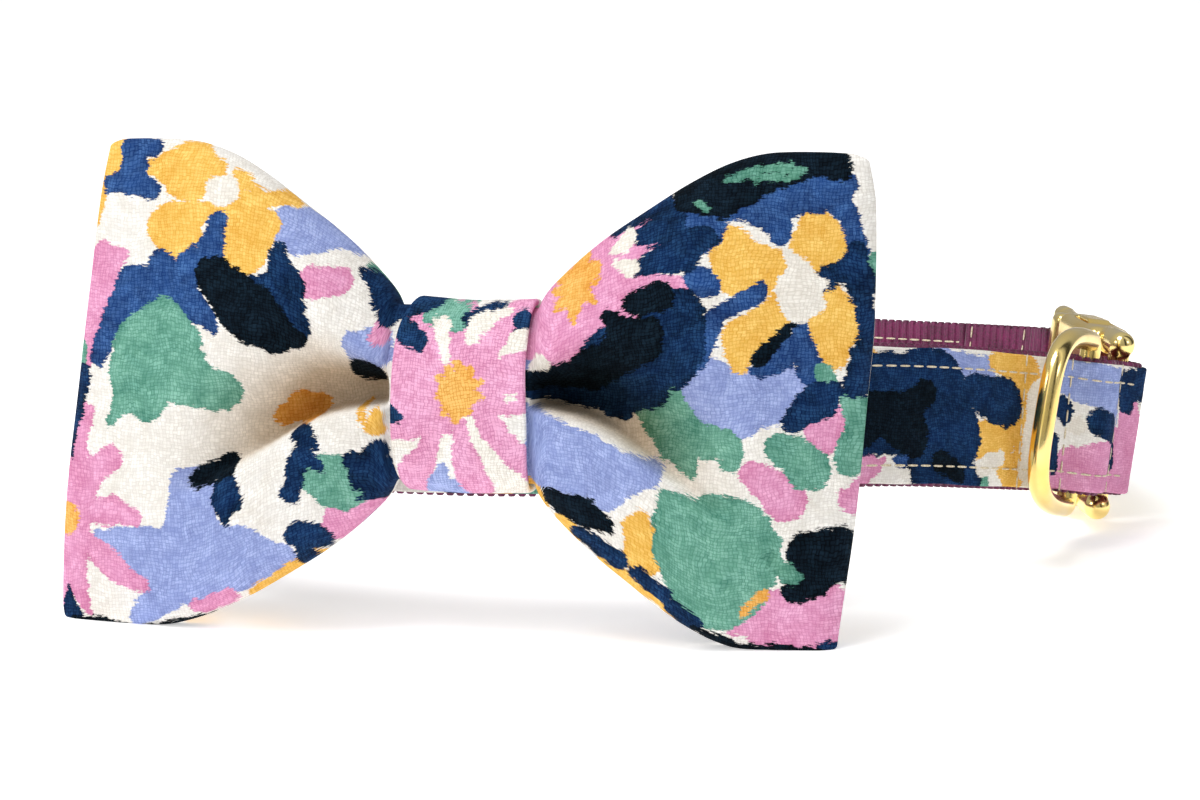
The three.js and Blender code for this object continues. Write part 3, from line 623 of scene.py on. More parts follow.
# how far each outer edge leans out of straight at a height, positive to the right
edgeLean = [
    {"x": -40, "left": -2.2, "right": -5.2}, {"x": -33, "left": -3.4, "right": -4.5},
    {"x": -15, "left": -2.9, "right": -2.3}, {"x": 6, "left": -0.8, "right": -0.7},
    {"x": 22, "left": 0.9, "right": 0.3}, {"x": 40, "left": 2.9, "right": 0.0},
    {"x": 49, "left": 4.6, "right": -1.6},
]


# points round a bellied section, fuller than an oval
def bellied(middleY, depth, middleZ, halfHeight, up, out):
    return (middleY - depth * np.sign(out) * np.abs(out) ** bow["outPower"],
            middleZ + halfHeight * np.sign(up) * np.abs(up) ** bow["upPower"])


def bowPoints(x, angle, thin):
    off = np.abs(x)
    halfHeight = readTable(wingSections, "halfHeight", off) - (1 - thin) * bow["edgeRound"] * 0.4
    depth = readTable(wingSections, "depth", off) * thin
    up, out = np.sin(angle), np.cos(angle)
    y, z = bellied(readTable(wingSections, "y", off), depth, bow["middleZ"], halfHeight, up, out)
    above = z - readTable(pleatLip, "z", off)
    reach = np.where(above > 0, readTable(pleatLip, "above", off), pleatBelow)
    front = np.clip(out * 6, 0, 1)
    pleat = readTable(wingSections, "pleat", off) * thin * front
    pleat = pleat * np.exp(-np.abs(above / reach) ** bow["pleatPower"])
    y = y + pleat
    # small creases that run out from the waist, and the slack of stuffed cloth
    fan = np.arctan2(z - bow["middleZ"], off - 6) * creases["often"] + np.sign(x) * creases["shift"]
    nearWaist = np.exp(-np.clip(off - bow["waistHalfWidth"], 0, None) / creases["reach"])
    nearWaist = nearWaist * smoothStep(12.5, 15.5, off)
    y = y + front * creases["deep"] * nearWaist * np.sin(fan + creases["bend"] * hills(x, z, 9, 31))
    loose = (slack["broad"] * hills(x, z, slack["broadEvery"], 32)
             + slack["fine"] * hills(x, z, slack["fineEvery"], 33))
    y = y + thin * smoothStep(bow["waistHalfWidth"], 20, off) * loose
    leanPart = smoothStep(bow["waistHalfWidth"], bow["halfWidth"], off)
    leanBy = np.where(x < 0, readTable(edgeLean, "left", z), readTable(edgeLean, "right", z))
    return np.stack([x + leanPart * leanBy, y, z], -1), pleat


def makeBow():
    inner = bow["halfWidth"] - bow["edgeRound"]
    plain = np.concatenate([np.linspace(0, 11.6, 14), np.linspace(11.9, 13.4, 6),  # close at the wrap's edge
                            np.linspace(14, inner, bow["stations"] - 20)])
    turns = np.radians([12, 24, 36, 47, 57, 66, 74, 81, 86])  # round the outer edges
    half = np.concatenate([plain, inner + bow["edgeRound"] * np.sin(turns)])
    thinHalf = np.concatenate([np.ones(len(plain)), np.cos(turns)])
    x = np.concatenate([-half[:0:-1], half])[:, None]
    thin = np.concatenate([thinHalf[:0:-1], thinHalf])[:, None]
    steps = bow["halfSection"]
    front = np.pi * (np.arange(steps) / steps - 0.5)
    angle = np.concatenate([front, front + np.pi])[None, :]
    rings, pleat = bowPoints(x + 0 * angle, angle + 0 * x, thin + 0 * angle)
    # the section starts at the bottom and runs up the front, over the top and down the back
    around = lengthRound(rings)
    across = np.concatenate([rings[..., 0], rings[:, :1, 0]], 1)
    obj = skin("bow_tie", rings, cloth=np.stack([across, around - around[:, steps // 2, None]], -1))
    for vertex in obj.data.vertices:
        vertex.co.z = max(vertex.co.z, 0.0)
    # the chart is read straight from the front, and runs on over the top edge down the back
    u, v = rings[..., 0], rings[..., 2].copy()
    v[:, steps:] = v[:, steps, None] + around[:, steps:-1] - around[:, steps, None]
    layPrint(obj, printChart, u.ravel(), v.ravel(), 5, repeatSize)
    # the pleat's depth, as the mask of the painted shade in its fold, full at the given depth
    setAttribute(obj, "paintedFoldShade", np.clip(pleat / bow["paintedShadeFullAt"], 0, 1).ravel())
    return obj


bowTie = makeBow()
bowTie.data.materials.append(cottonOnBow)
print("bow made", len(bowTie.data.polygons))

print("wrap")
wrap = {"width": 23.6, "thickness": 1.3, "gap": 0.35, "crown": 0.35, "pressedIn": 2.4, "ripple": 0.12,
        "edgeWander": 0.25, "drawnInTop": 2.2, "drawnInBottom": 1.3, "backPrint": 12, "steps": 220}


# a flat band's section: across it and out of it, with rounded edges; as many points up the
# outside as down the inside
def bandSection(width, thickness, flatSteps, edgeSteps=5):
    radius = thickness / 2
    flat = np.linspace(-(width / 2 - radius), width / 2 - radius, flatSteps)
    turn = np.linspace(-90, 90, edgeSteps * 2 + 1)[1:-1]
    top = np.radians(turn[::-1])
    across = np.concatenate([flat, width / 2 - radius + radius * np.cos(top), flat[::-1],
                             -(width / 2 - radius) - radius * np.cos(np.radians(turn))])
    out = np.concatenate([np.full(flatSteps, radius), radius * np.sin(top), np.full(flatSteps, -radius),
                          radius * np.sin(np.radians(turn))])
    return across, out


def makeWrap():
    waist = wingSections[0]
    angle = 2 * np.pi * (np.arange(wrap["steps"]) / wrap["steps"]) + np.pi
    up, out = np.sin(angle), np.cos(angle)
    across, outward = bandSection(wrap["width"], wrap["thickness"], 46)

    def roundWaist(grow):
        y, z = bellied(waist["y"], waist["depth"] + grow, bow["middleZ"], waist["halfHeight"] + grow, up, out)
        return np.stack([0 * angle, y, z], -1)

    inside, outside = roundWaist(wrap["gap"]), roundWaist(wrap["gap"] + wrap["thickness"])
    part = outward / wrap["thickness"] + 0.5
    rings = inside[:, None] * (1 - part[None, :, None]) + outside[:, None] * part[None, :, None]
    rings[..., 0] = across[None, :]
    outerSkin = part > 0.6
    rise = 1 - wrap["pressedIn"] * np.clip(up, 0, None) ** 4  # pressed in on top
    crown = wrap["crown"] * (1 - (across / (wrap["width"] / 2)) ** 2) * outerSkin
    roundTo = np.arange(len(angle))[:, None] * 0.35
    ripple = wrap["ripple"] * hills(across[None, :], roundTo, 4, 41)
    push = crown * rise[:, None] + ripple * outerSkin
    rings = rings + unit(outside - inside)[:, None, :] * push[..., None]
    rings[..., 0] += wrap["edgeWander"] * hills(np.sign(across)[None, :] * 9 + 20, roundTo, 7, 42)
    # the left edge is drawn in towards the top and the bottom
    high = (rings[..., 2] - bow["middleZ"]) / waist["halfHeight"]
    drawnIn = np.where(high > 0, wrap["drawnInTop"], wrap["drawnInBottom"]) * np.abs(high) ** 3
    rings[..., 0] += drawnIn * smoothStep(4, -12, rings[..., 0])
    length = lengthRound(outside[None])[0]
    cloth = np.stack(np.broadcast_arrays(np.append(across, across[0])[None, :], length[:, None]), -1)
    obj = skin("bow_wrap", rings, closed=True, cloth=cloth)
    # the print runs on over the top and under the bottom, to meet behind
    v = rings[..., 2] + np.where(out <= 0, np.sign(up) * wrap["backPrint"], 0)[:, None]
    layPrint(obj, wrapChart, rings[..., 0].ravel(), v.ravel(), 5, wrapRepeat)
    return obj


bowWrap = makeWrap()
bowWrap.data.materials.append(cottonOnWrap)
print("wrap made", len(bowWrap.data.polygons))

print("band")
webbing = {"width": 26.0, "thickness": 1.8, "coreInset": 0.8, "coreThickness": 0.9}
strip = {"width": 24.8, "thickness": 0.9, "shift": 0.15, "pinch": 0.2, "pinchWidth": 0.8, "ruffle": 0.1,
         "ruffleEvery": 6, "hemWander": 0.014, "hemEvery": 9, "chartEnds": 96, "drift": 8, "sway": 22,
         "swayEvery": 70}
gap = 0.35
bandRoute = np.array([  # middle line, from the far bar round the back, left and front to the near bar
    (95, 129, 0.7), (64, 151, 0.4), (24, 167, 0.3), (-20, 168, 0), (-58, 151, 0), (-82, 120, 0), (-90, 83, 0),
    (-83, 47, 0), (-63, 19, 0), (-34, 4.2, 0), (0, 0, 0), (37, 7, 1.2), (69, 25, 2), (94, 54, -0.4),
    (108, 85, -3.1)])
lean = {"x": 104, "y": 107, "most": 0.16, "reach": 60, "towards": (0.9, -0.43, 0)}  # the buckle leans out
fold = {"ease": 8, "nearTail": 42, "farTail": 24, "roundBar": 0.45}
pocket = {"beforeBar": 17, "halfLength": 9.5, "spare": 1, "barOut": 0.3, "bridge": 0.55}
ring = {"wire": 4, "halfHeight": 16, "reach": 25.5, "squareness": 3.6, "offBand": 10, "tilt": 3.5,
        "steps": 144, "sides": 28, "easing": 3}
barRadius = 2.1


def routeCurve(route, perSpan=160):
    ends = np.vstack([2 * route[0] - route[1], route, 2 * route[-1] - route[-2]])
    t = np.linspace(0, 1, perSpan, endpoint=False)[:, None]
    parts = []
    for p0, p1, p2, p3 in zip(ends[:-3], ends[1:-2], ends[2:-1], ends[3:]):
        a, b, c = (np.sum((q - p) ** 2) ** 0.25 for p, q in ((p0, p1), (p1, p2), (p2, p3)))
        start = ((p1 - p0) / a - (p2 - p0) / (a + b) + (p2 - p1) / b) * b
        end = ((p2 - p1) / b - (p3 - p1) / (b + c) + (p3 - p2) / c) * b
        parts.append(p1 + start * t + (3 * (p2 - p1) - 2 * start - end) * t ** 2
                     + (2 * (p1 - p2) + start + end) * t ** 3)
    return np.vstack(parts + [route[-1:]])


routeLine = routeCurve(bandRoute)
routeLength = np.concatenate([[0], np.cumsum(np.linalg.norm(np.diff(routeLine, axis=0), axis=1))])
bandLength = routeLength[-1]
routeTangent = unit(np.gradient(routeLine, routeLength, axis=0))


# place, forward, outward and up at distances along the band
def bandFrames(distance):
    distance = np.atleast_1d(np.asarray(distance, float))
    held = np.clip(distance, 0, bandLength)
    place = np.stack([np.interp(held, routeLength, routeLine[:, k]) for k in range(3)], -1)
    forward = unit(np.stack([np.interp(held, routeLength, routeTangent[:, k]) for k in range(3)], -1))
    place = place + forward * (distance - held)[:, None]
    offLean = np.hypot(place[:, 0] - lean["x"], place[:, 1] - lean["y"]) / lean["reach"]
    up = np.array([0, 0, 1.0]) + np.array(lean["towards"]) * (lean["most"] * np.exp(-offLean ** 2))[:, None]
    up = unit(up)
    return place, forward, unit(np.cross(forward, up)), up


foldRadius = barRadius + gap + fold["roundBar"] + webbing["thickness"] / 2
layerDrop = webbing["thickness"] + gap
barDepth = -layerDrop / 2
pocketAt = bandLength - pocket["beforeBar"]
pocketHalf = ring["wire"] / 2 + pocket["spare"] + gap + webbing["thickness"] / 2


# a soft hump, one in the middle and nothing past one on either side
def swell(t):
    return np.where(np.abs(t) >= 1, 0, np.cos(np.clip(t, -1, 1) * np.pi / 2) ** 2)


def layerOffset(distance, side):
    flat = 0.0 if side > 0 else -layerDrop
    nearest = np.minimum(distance, bandLength - distance) / fold["ease"]
    roundBar = barDepth + side * foldRadius - flat
    bump = pocket["barOut"] + side * pocketHalf - flat
    away = flat + roundBar * swell(nearest) + bump * swell((distance - pocketAt) / pocket["halfLength"])
    if side > 0:  # the two folds run into each other on the outside
        toBar = smoothStep(pocketAt, bandLength, distance)
        bridge = flat + bump * (1 - toBar) + roundBar * toBar
        between = (distance > pocketAt) & (distance < bandLength)
        away = np.where(between, away * (1 - pocket["bridge"]) + bridge * pocket["bridge"], away)
    return away


# the webbing's path: distance along the band and how far out of it, from tail to tail
def webbingPath(step):
    def run(start, end, side):
        distance = np.linspace(start, end, max(int(abs(end - start) / step), 2))
        return np.stack([distance, layerOffset(distance, side)], -1)

    def turn(bar, direction):
        angle = np.linspace(-np.pi / 2, np.pi / 2, max(int(np.pi * foldRadius / step), 8))
        return np.stack([bar + direction * foldRadius * np.cos(angle),
                         barDepth - direction * foldRadius * np.sin(angle)], -1)

    path = np.vstack([run(fold["farTail"], 0.01, -1), turn(0, -1), run(0.01, bandLength - 0.01, 1),
                      turn(bandLength, 1), run(bandLength - 0.01, bandLength - fold["nearTail"], -1)])
    keep = np.concatenate([[True], np.linalg.norm(np.diff(path, axis=0), axis=1) > step * 0.25])
    return path[keep]


# middle points, outward face and up along a path, and the length so far
def pathFrames(path):
    place, _, outward, up = bandFrames(path[:, 0])
    points = place + outward * path[:, 1:]
    across = np.empty_like(points)
    across[1:-1] = points[2:] - points[:-2]
    across[0], across[-1] = points[1] - points[0], points[-1] - points[-2]
    face = unit(np.cross(across, up))
    length = np.concatenate([[0], np.cumsum(np.linalg.norm(np.diff(points, axis=0), axis=1))])
    return points, face, up, length


def bandMesh(name, path, width, thickness, shift, flatSteps, shape=None):
    points, face, up, length = pathFrames(path)
    across, out = bandSection(width, thickness, flatSteps)
    grid = np.broadcast_to(out[None, :] + shift, (len(points), len(out))).copy()
    side = np.broadcast_to(across[None, :], grid.shape).copy()
    if shape is not None:
        grid, side = shape(grid, side, out, length)
    rings = points[:, None] + face[:, None] * grid[..., None] + up[:, None] * side[..., None]
    cloth = np.stack([np.broadcast_to(length[:, None], (len(length), len(across) + 1)),
                      np.append(across, across[0])[None, :] + 0 * length[:, None]], -1)
    return skin(name, rings, cloth=cloth), side, length


strapCore, _, _ = bandMesh("strap_webbing_core", webbingPath(1.5), webbing["width"] - webbing["coreInset"],
                           webbing["coreThickness"], 0, 6)
strapCore.data.materials.append(nylon)

# the strip covers the outside and turns just past both folds
outerPath = webbingPath(0.6)
hemAt = foldRadius * 0.985
firstHem = np.argmax(outerPath[:, 0] <= -hemAt)
lastHem = len(outerPath) - 1 - np.argmax(outerPath[::-1, 0] >= bandLength + hemAt)
outerPath = outerPath[firstHem:lastHem + 1]
stitching = {"rows": 9.0, "pitch": 3.0, "length": 2.3, "width": 0.42, "height": 0.26, "sunk": 0.06,
             "proud": 0.03, "innerProud": 0.02, "crossHalf": 11.4, "near": (9.0, 25.0, 40.0),
             "far": (8.0, 22.0), "clearFar": 4, "clearNear": 3.5, "pastTail": 2}


# pinched along the two rows of stitches, and a little uneven at the hems
def stripShape(grid, side, out, length):
    row = np.exp(-((np.abs(side) - stitching["rows"]) / strip["pinchWidth"]) ** 2)
    beat = 0.6 + 0.4 * np.cos(2 * np.pi * length / stitching["pitch"])[:, None]
    lift = np.where(out > 0, 1.0, 0.0)[None, :]
    along = length[:, None] + 0 * side
    ruffle = strip["ruffle"] * hills(along, side, strip["ruffleEvery"], 51)
    edge = hills(along, np.sign(side) * 40 + 50, strip["hemEvery"], 52)
    return grid + lift * (ruffle - strip["pinch"] * row * beat), side * (1 + strip["hemWander"] * edge)


stripShift = webbing["thickness"] / 2 + strip["shift"] + strip["thickness"] / 2
strapPrint, stripSide, stripLength = bandMesh(
    "strap_print", outerPath, strip["width"], strip["thickness"], stripShift, 44, stripShape)
strapPrint.data.materials.append(cottonOnStrap)
nearChart = {  # the strip beside the buckle: distance before the near bar, height on the band
    "periwinkle": [(65, 9, 52, 8, 3, 3), (27, 9, 14, 7, 3, 4), (14, 7, 10, 2, 4, 2)],
    "pink": [(86, -10, 78, -9, 2, 2), (82, -7, 77, -5, 1, 0), (78, -11, 74, -8, 1, 0),
             (28, -11, 8, -11, 2, 3), (25, -7, 12, -6, 2, 4), (12, -5, 3, -4, 4, 4), (3, 3, 0, -8, 3, 4),
             (5, -9, 0, -10, 4, 4)],
    "yellow": [(90, 11, 77, 10, 2, 1), (49, 11, 40, 9, 1, 3), (54, -4, 45, -3, 3, 3),
               (44, -8, 41, -11, 2, 2), (41, 6, 39, -6, 2, 2)],
    "midBlue": [(70, -8, 62, -3, 1, 2)],
    "green": [(33, -7, 31, -9, 1, 1), (55, -12, 50, -12, 1, 1)],
    "navy": [(86, 2, 64, 2, 8, 9), (66, 4, 58, -4, 8, 6), (64, -9, 53, -11, 4, 2), (53, 5, 45, 3, 3, 4),
             (30, 4, 26, 2, 1, 2), (30, -4, 28, -8, 2, 1), (18, 1, 15, 0, 2, 2), (12, -1, 9, -6, 2, 2),
             (8, 9, -1, 9, 2, 3), (5, 6, 3, 5, 2, 1)],
    "nearBlack": [(86, 6, 68, -4, 2, 3), (82, -5, 66, 4, 2, 2), (76, 1, 70, 0, 3, 4),
                  (62, -8, 56, -10, 1, 1)],
    "cream": [(50, -9, 46, -7, 1, 1), (38, -9, 37, 6, 1, 1), (24, -1, 22, 0, 0, 1)],
}


def layStrip():
    beforeBar = bandLength - outerPath[:, :1] + 0 * stripSide
    near = smoothStep(strip["chartEnds"] + 4, strip["chartEnds"], beforeBar).ravel()
    drift = strip["drift"] + strip["sway"] * np.sin(stripLength / strip["swayEvery"])
    layPrint(strapPrint, printChart, (30 - beforeBar).ravel(), (stripSide + drift[:, None]).ravel(), 5,
             repeatSize)
    far = {key: np.empty(len(near), np.float32) for key in printColours}
    for key in far:
        strapPrint.data.attributes[key].data.foreach_get("value", far[key])
        strapPrint.data.attributes.remove(strapPrint.data.attributes[key])
    layPrint(strapPrint, nearChart, beforeBar.ravel(), stripSide.ravel(), 61)
    for key in far:
        close = np.empty(len(near), np.float32)
        strapPrint.data.attributes[key].data.foreach_get("value", close)
        strapPrint.data.attributes[key].data.foreach_set(
            "value", (close * near + far[key] * (1 - near)).astype(np.float32))


layStrip()
print("band made", len(strapPrint.data.polygons))


# one shape again and again along lines; each point of a line holds which way is up
def makeRepeat():
    tree = bpy.data.node_groups.new("repeatAlong", "GeometryNodeTree")
    face = tree.interface
    face.new_socket("Lines", in_out="INPUT", socket_type="NodeSocketGeometry")
    sockets = {}
    for name, kind in (("Shape", "Object"), ("Pitch", "Float"), ("Uneven", "Float"), ("Seed", "Int"),
                       ("Finish", "Material")):
        sockets[name] = face.new_socket(name, in_out="INPUT", socket_type="NodeSocket" + kind).identifier
    face.new_socket("Result", in_out="OUTPUT", socket_type="NodeSocketGeometry")
    given = tree.nodes.new("NodeGroupInput").outputs
    curve = node(tree, "GeometryNodeMeshToCurve", {"Mesh": given["Lines"]})
    spaced = node(tree, "GeometryNodeResampleCurve", {"Curve": curve.outputs[0], "Length": given["Pitch"]},
                  mode="LENGTH")
    upward = node(tree, "GeometryNodeInputNamedAttribute", {"Name": "upward"}, data_type="FLOAT_VECTOR")
    tangent = node(tree, "GeometryNodeInputTangent")
    alongLine = node(tree, "FunctionNodeAlignRotationToVector", {"Vector": tangent.outputs[0]}, axis="X")
    standing = node(tree, "FunctionNodeAlignRotationToVector",
                    {"Rotation": alongLine.outputs[0], "Vector": upward.outputs["Attribute"]},
                    axis="Z", pivot_axis="X")
    least = sums(tree, "SUBTRACT", 1.0, given["Uneven"])
    most = sums(tree, "ADD", 1.0, given["Uneven"])
    size = node(tree, "FunctionNodeRandomValue", {"Min": least, "Max": most, "Seed": given["Seed"]},
                data_type="FLOAT")
    shape = node(tree, "GeometryNodeObjectInfo", {"Object": given["Shape"]})
    placed = node(tree, "GeometryNodeInstanceOnPoints", {
        "Points": spaced.outputs[0], "Instance": shape.outputs["Geometry"],
        "Rotation": standing.outputs[0], "Scale": size.outputs[1]})
    real = node(tree, "GeometryNodeRealizeInstances", {"Geometry": placed.outputs[0]})
    finished = node(tree, "GeometryNodeSetMaterial",
                    {"Geometry": real.outputs[0], "Material": given["Finish"]})
    result = tree.nodes.new("NodeGroupOutput")
    tree.links.new(finished.outputs[0], result.inputs[0])
    return tree, sockets


repeatAlong, repeatSockets = makeRepeat()


# lines in the collar's millimetres, each a pair of points and upward directions
def repeatPiece(name, lines, shape, pitch, uneven, seed, finish):
    points, edges, upward = [], [], []
    for line, ups in lines:
        start = len(points)
        points += [tuple(p) for p in toFrame(line)]
        edges += [(start + i, start + i + 1) for i in range(len(line) - 1)]
        upward += list(np.asarray(ups) @ tiltTurn.T)
    mesh = bpy.data.meshes.new(name)
    mesh.from_pydata(points, edges, [])
    mesh.attributes.new("upward", "FLOAT_VECTOR", "POINT").data.foreach_set(
        "vector", np.asarray(upward, np.float32).ravel())
    obj = bpy.data.objects.new(name, mesh)
    scene.collection.objects.link(obj)
    modifier = obj.modifiers.new("repeat", "NODES")
    modifier.node_group = repeatAlong
    for socket, value in (("Shape", shape), ("Pitch", pitch * mm), ("Uneven", uneven), ("Seed", seed),
                          ("Finish", finish)):
        modifier[repeatSockets[socket]] = value
    depsgraph = bpy.context.evaluated_depsgraph_get()
    plain = bpy.data.meshes.new_from_object(obj.evaluated_get(depsgraph))
    plain.name = name
    obj.modifiers.clear()
    obj.data = plain
    if "upward" in plain.attributes:
        plain.attributes.remove(plain.attributes["upward"])
    return obj


# a small closed spindle along x: half widths up (z) and across (y) at places along it
def spindle(name, rows, sides=6, power=1.0):
    points, faces = [], []
    for x, across, up in rows:
        for j in range(sides):
            angle = 2 * np.pi * (j + 0.5) / sides
            c, s = np.cos(angle), np.sin(angle)
            points.append((x * mm, across * np.sign(c) * abs(c) ** power * mm,
                           up * np.sign(s) * abs(s) ** power * mm))
    for i in range(len(rows) - 1):
        for j in range(sides):
            k = (j + 1) % sides
            faces.append((i * sides + j, i * sides + k, (i + 1) * sides + k, (i + 1) * sides + j))
    faces.append(tuple(range(sides)))
    faces.append(tuple(range(len(points) - 1, len(points) - 1 - sides, -1)))
    return newMesh(name, points, [face[::-1] for face in faces])


# ribs of the webbing: one rounded bar across it every pitch, all the way round both folds
ribs = {"pitch": 1.8, "half": 0.78, "thick": 0.9, "sides": 8, "power": 0.8}
ribRows = [(x, ribs["half"] * part, ribs["thick"] * part)  # it narrows at the webbing's edges, at 13
           for x, part in ((-13, 0.62), (-12.7, 0.9), (-6, 1), (0, 1), (6, 1), (12.7, 0.9), (13, 0.62))]
ribShape = spindle("ribShape", ribRows, ribs["sides"], ribs["power"])
for vertex in ribShape.data.vertices:  # made along x, it has to lie across the line
    x, y, z = vertex.co
    vertex.co = (-y, x, z)
ribLine, ribFace = pathFrames(webbingPath(1.0))[:2]
strapRibs = repeatPiece("strap_webbing_ribs", [(ribLine, ribFace)], ribShape, ribs["pitch"], 0.0, 3, nylon)

stitchHalf = stitching["length"] / 2
stitchRows = [(part * stitchHalf, stitching["width"] / 2 * wide, stitching["height"] / 2 * high)
              for part, wide, high in ((-1, 0.35, 0.3), (-0.8, 0.8, 0.8), (-0.3, 1, 1), (0.3, 1, 1),
                                       (0.8, 0.8, 0.8), (1, 0.35, 0.3))]
stitchShape = spindle("stitchShape", stitchRows)


def stitchLines():
    lines = []
    points, face, up, _ = pathFrames(outerPath)
    along = outerPath[:, 0]
    over, under = stripShift + strip["thickness"] / 2, webbing["thickness"] / 2 + stitching["innerProud"]
    covered = (along > stitching["clearFar"]) & (along < bandLength - stitching["clearNear"])
    bare = ((along > fold["farTail"] + stitching["pastTail"])
            & (along < bandLength - fold["nearTail"] - stitching["pastTail"]))
    for row in (-1, 1):
        line = points + face * (over - stitching["sunk"]) + up * row * stitching["rows"]
        lines.append((line[covered], face[covered]))
        # the same rows show on the bare inner face
        line = points - face * under + up * row * stitching["rows"]
        lines.append((line[bare], -face[bare]))
    # rows across the band near each buckle bar, on both faces
    heights = np.linspace(-stitching["crossHalf"], stitching["crossHalf"], 20)
    for distance in [bandLength - d for d in stitching["near"]] + list(stitching["far"]):
        k = int(np.argmin(np.abs(along - distance)))
        line = points[k] + face[k] * (over + stitching["proud"]) + up[k] * heights[:, None]
        lines.append((line, np.repeat(face[k][None], len(heights), 0)))
        place, _, outward, upward = (v[0] for v in bandFrames([distance]))
        inner = layerOffset(np.array([distance]), -1)[0] - under
        line = place + outward * inner + upward * heights[:, None]
        lines.append((line, np.repeat(-outward[None], len(heights), 0)))
    return lines


stitches = repeatPiece("strap_stitches", stitchLines(), stitchShape, stitching["pitch"], 0.06, 7, thread)
for spare in (ribShape, stitchShape):
    bpy.data.objects.remove(spare)
print("ribs and stitches made", len(strapRibs.data.polygons), len(stitches.data.polygons))

print("metal")
buckle = {"nearKnob": 2.6, "farKnob": 2.0, "nearHalf": 18.6, "farHalf": 17.8, "nearBarrel": 4.6,
          "farBarrel": 2.2, "pastBar": 0.8, "armPart": 0.95, "armDrop": 0.3,
          "bodyStart": 7.6, "bodyEnd": 32.5, "bodyHalfHeight": 18.0, "bodyHalfDepth": 4.6, "wall": 1.8,
          "windowStart": 14.5, "windowEnd": 27.0, "lip": 0.8, "prongPlay": 0.5}


# axes of a metal piece in the collar's millimetres: along, out and up
def settle(place, along, up):
    x = unit(along)
    z = unit(up - x * (up @ x))
    y = np.cross(z, x)
    return lambda points: place + np.asarray(points, float) @ np.stack([x, y, z])


def makeRing():
    place, forward, outward, up = (v[0] for v in bandFrames([pocketAt]))
    off = math.radians(ring["offBand"])
    along = -forward * math.cos(off) + outward * math.sin(off)
    slope = math.radians(ring["tilt"])
    along = along * math.cos(slope) + up * math.sin(slope)
    put = settle(place + outward * pocket["barOut"], along, up)
    power = 2 / ring["squareness"]
    angle = np.pi * (np.linspace(0, 1, 81) - 0.5)
    outline = np.stack([np.clip(np.cos(angle), 0, None) ** power * ring["reach"], 0 * angle,
                        np.sign(np.sin(angle)) * np.abs(np.sin(angle)) ** power * ring["halfHeight"]], -1)
    down = np.linspace(1, -1, 15)[1:-1]
    bar = np.stack([0 * down, 0 * down, down * ring["halfHeight"]], -1)
    loop = np.vstack([outline, bar])
    for _ in range(ring["easing"]):  # even spacing, corners eased
        step = np.linalg.norm(np.diff(np.vstack([loop, loop[:1]]), axis=0), axis=1)
        run = np.concatenate([[0], np.cumsum(step)])
        even = np.linspace(0, run[-1], ring["steps"] + 1)[:-1]
        loop = np.stack([np.interp(even, run, np.append(loop[:, k], loop[0, k])) for k in range(3)], -1)
        loop = (np.roll(loop, 1, 0) + 2 * loop + np.roll(loop, -1, 0)) / 4
    tangent = unit(np.roll(loop, -1, 0) - np.roll(loop, 1, 0))
    inward = np.cross(tangent, [0, 1, 0])
    turn = 2 * np.pi * np.arange(ring["sides"]) / ring["sides"]
    wire = ring["wire"] / 2
    rings = (loop[:, None] + inward[:, None] * (wire * np.cos(turn))[None, :, None]
             + np.array([0, 1.0, 0]) * (wire * np.sin(turn))[None, :, None])
    return skin("lead_ring_wire", put(rings.reshape(-1, 3)).reshape(rings.shape), closed=True)


leadRing = makeRing()
leadRing.data.materials.append(gold)

nearPlace, _, nearOut, nearUp = (v[0] for v in bandFrames([bandLength]))
farPlace, _, farOut, farUp = (v[0] for v in bandFrames([0.0]))
nearBar, farBar = nearPlace + nearOut * barDepth, farPlace + farOut * barDepth
putBuckle = settle(nearBar, farBar - nearBar, nearUp + farUp)
buckleLength = np.linalg.norm(farBar - nearBar)


def rod(mesh, radius, start, end, sides=32):
    start, end = Vector(start), Vector(end)
    turn = (end - start).to_track_quat("Z", "Y").to_matrix().to_4x4()
    bmesh.ops.create_cone(mesh, cap_ends=True, segments=sides, radius1=radius, radius2=radius,
                          depth=(end - start).length, matrix=Matrix.Translation((start + end) / 2) @ turn)


def ball(mesh, radius, x, z):
    bmesh.ops.create_uvsphere(mesh, u_segments=32, v_segments=20, radius=radius,
                              matrix=Matrix.Translation((x, 0, z)))


def box(mesh, low, high, rounding=0.0, segments=4):
    middle = [(a + b) / 2 for a, b in zip(low, high)]
    size = [b - a for a, b in zip(low, high)]
    matrix = Matrix.Translation(middle) @ Matrix.Diagonal((*size, 1))
    made = bmesh.ops.create_cube(mesh, size=1, matrix=matrix)
    if rounding:
        edges = list({edge for vertex in made["verts"] for edge in vertex.link_edges})
        bmesh.ops.bevel(mesh, geom=edges, offset=rounding, segments=segments, profile=0.5, affect="EDGES")


def metalPart(name, draw):
    mesh = bmesh.new()
    draw(mesh)
    data = bpy.data.meshes.new(name)
    mesh.to_mesh(data)
    mesh.free()
    obj = bpy.data.objects.new(name, data)
    scene.collection.objects.link(obj)
    return obj


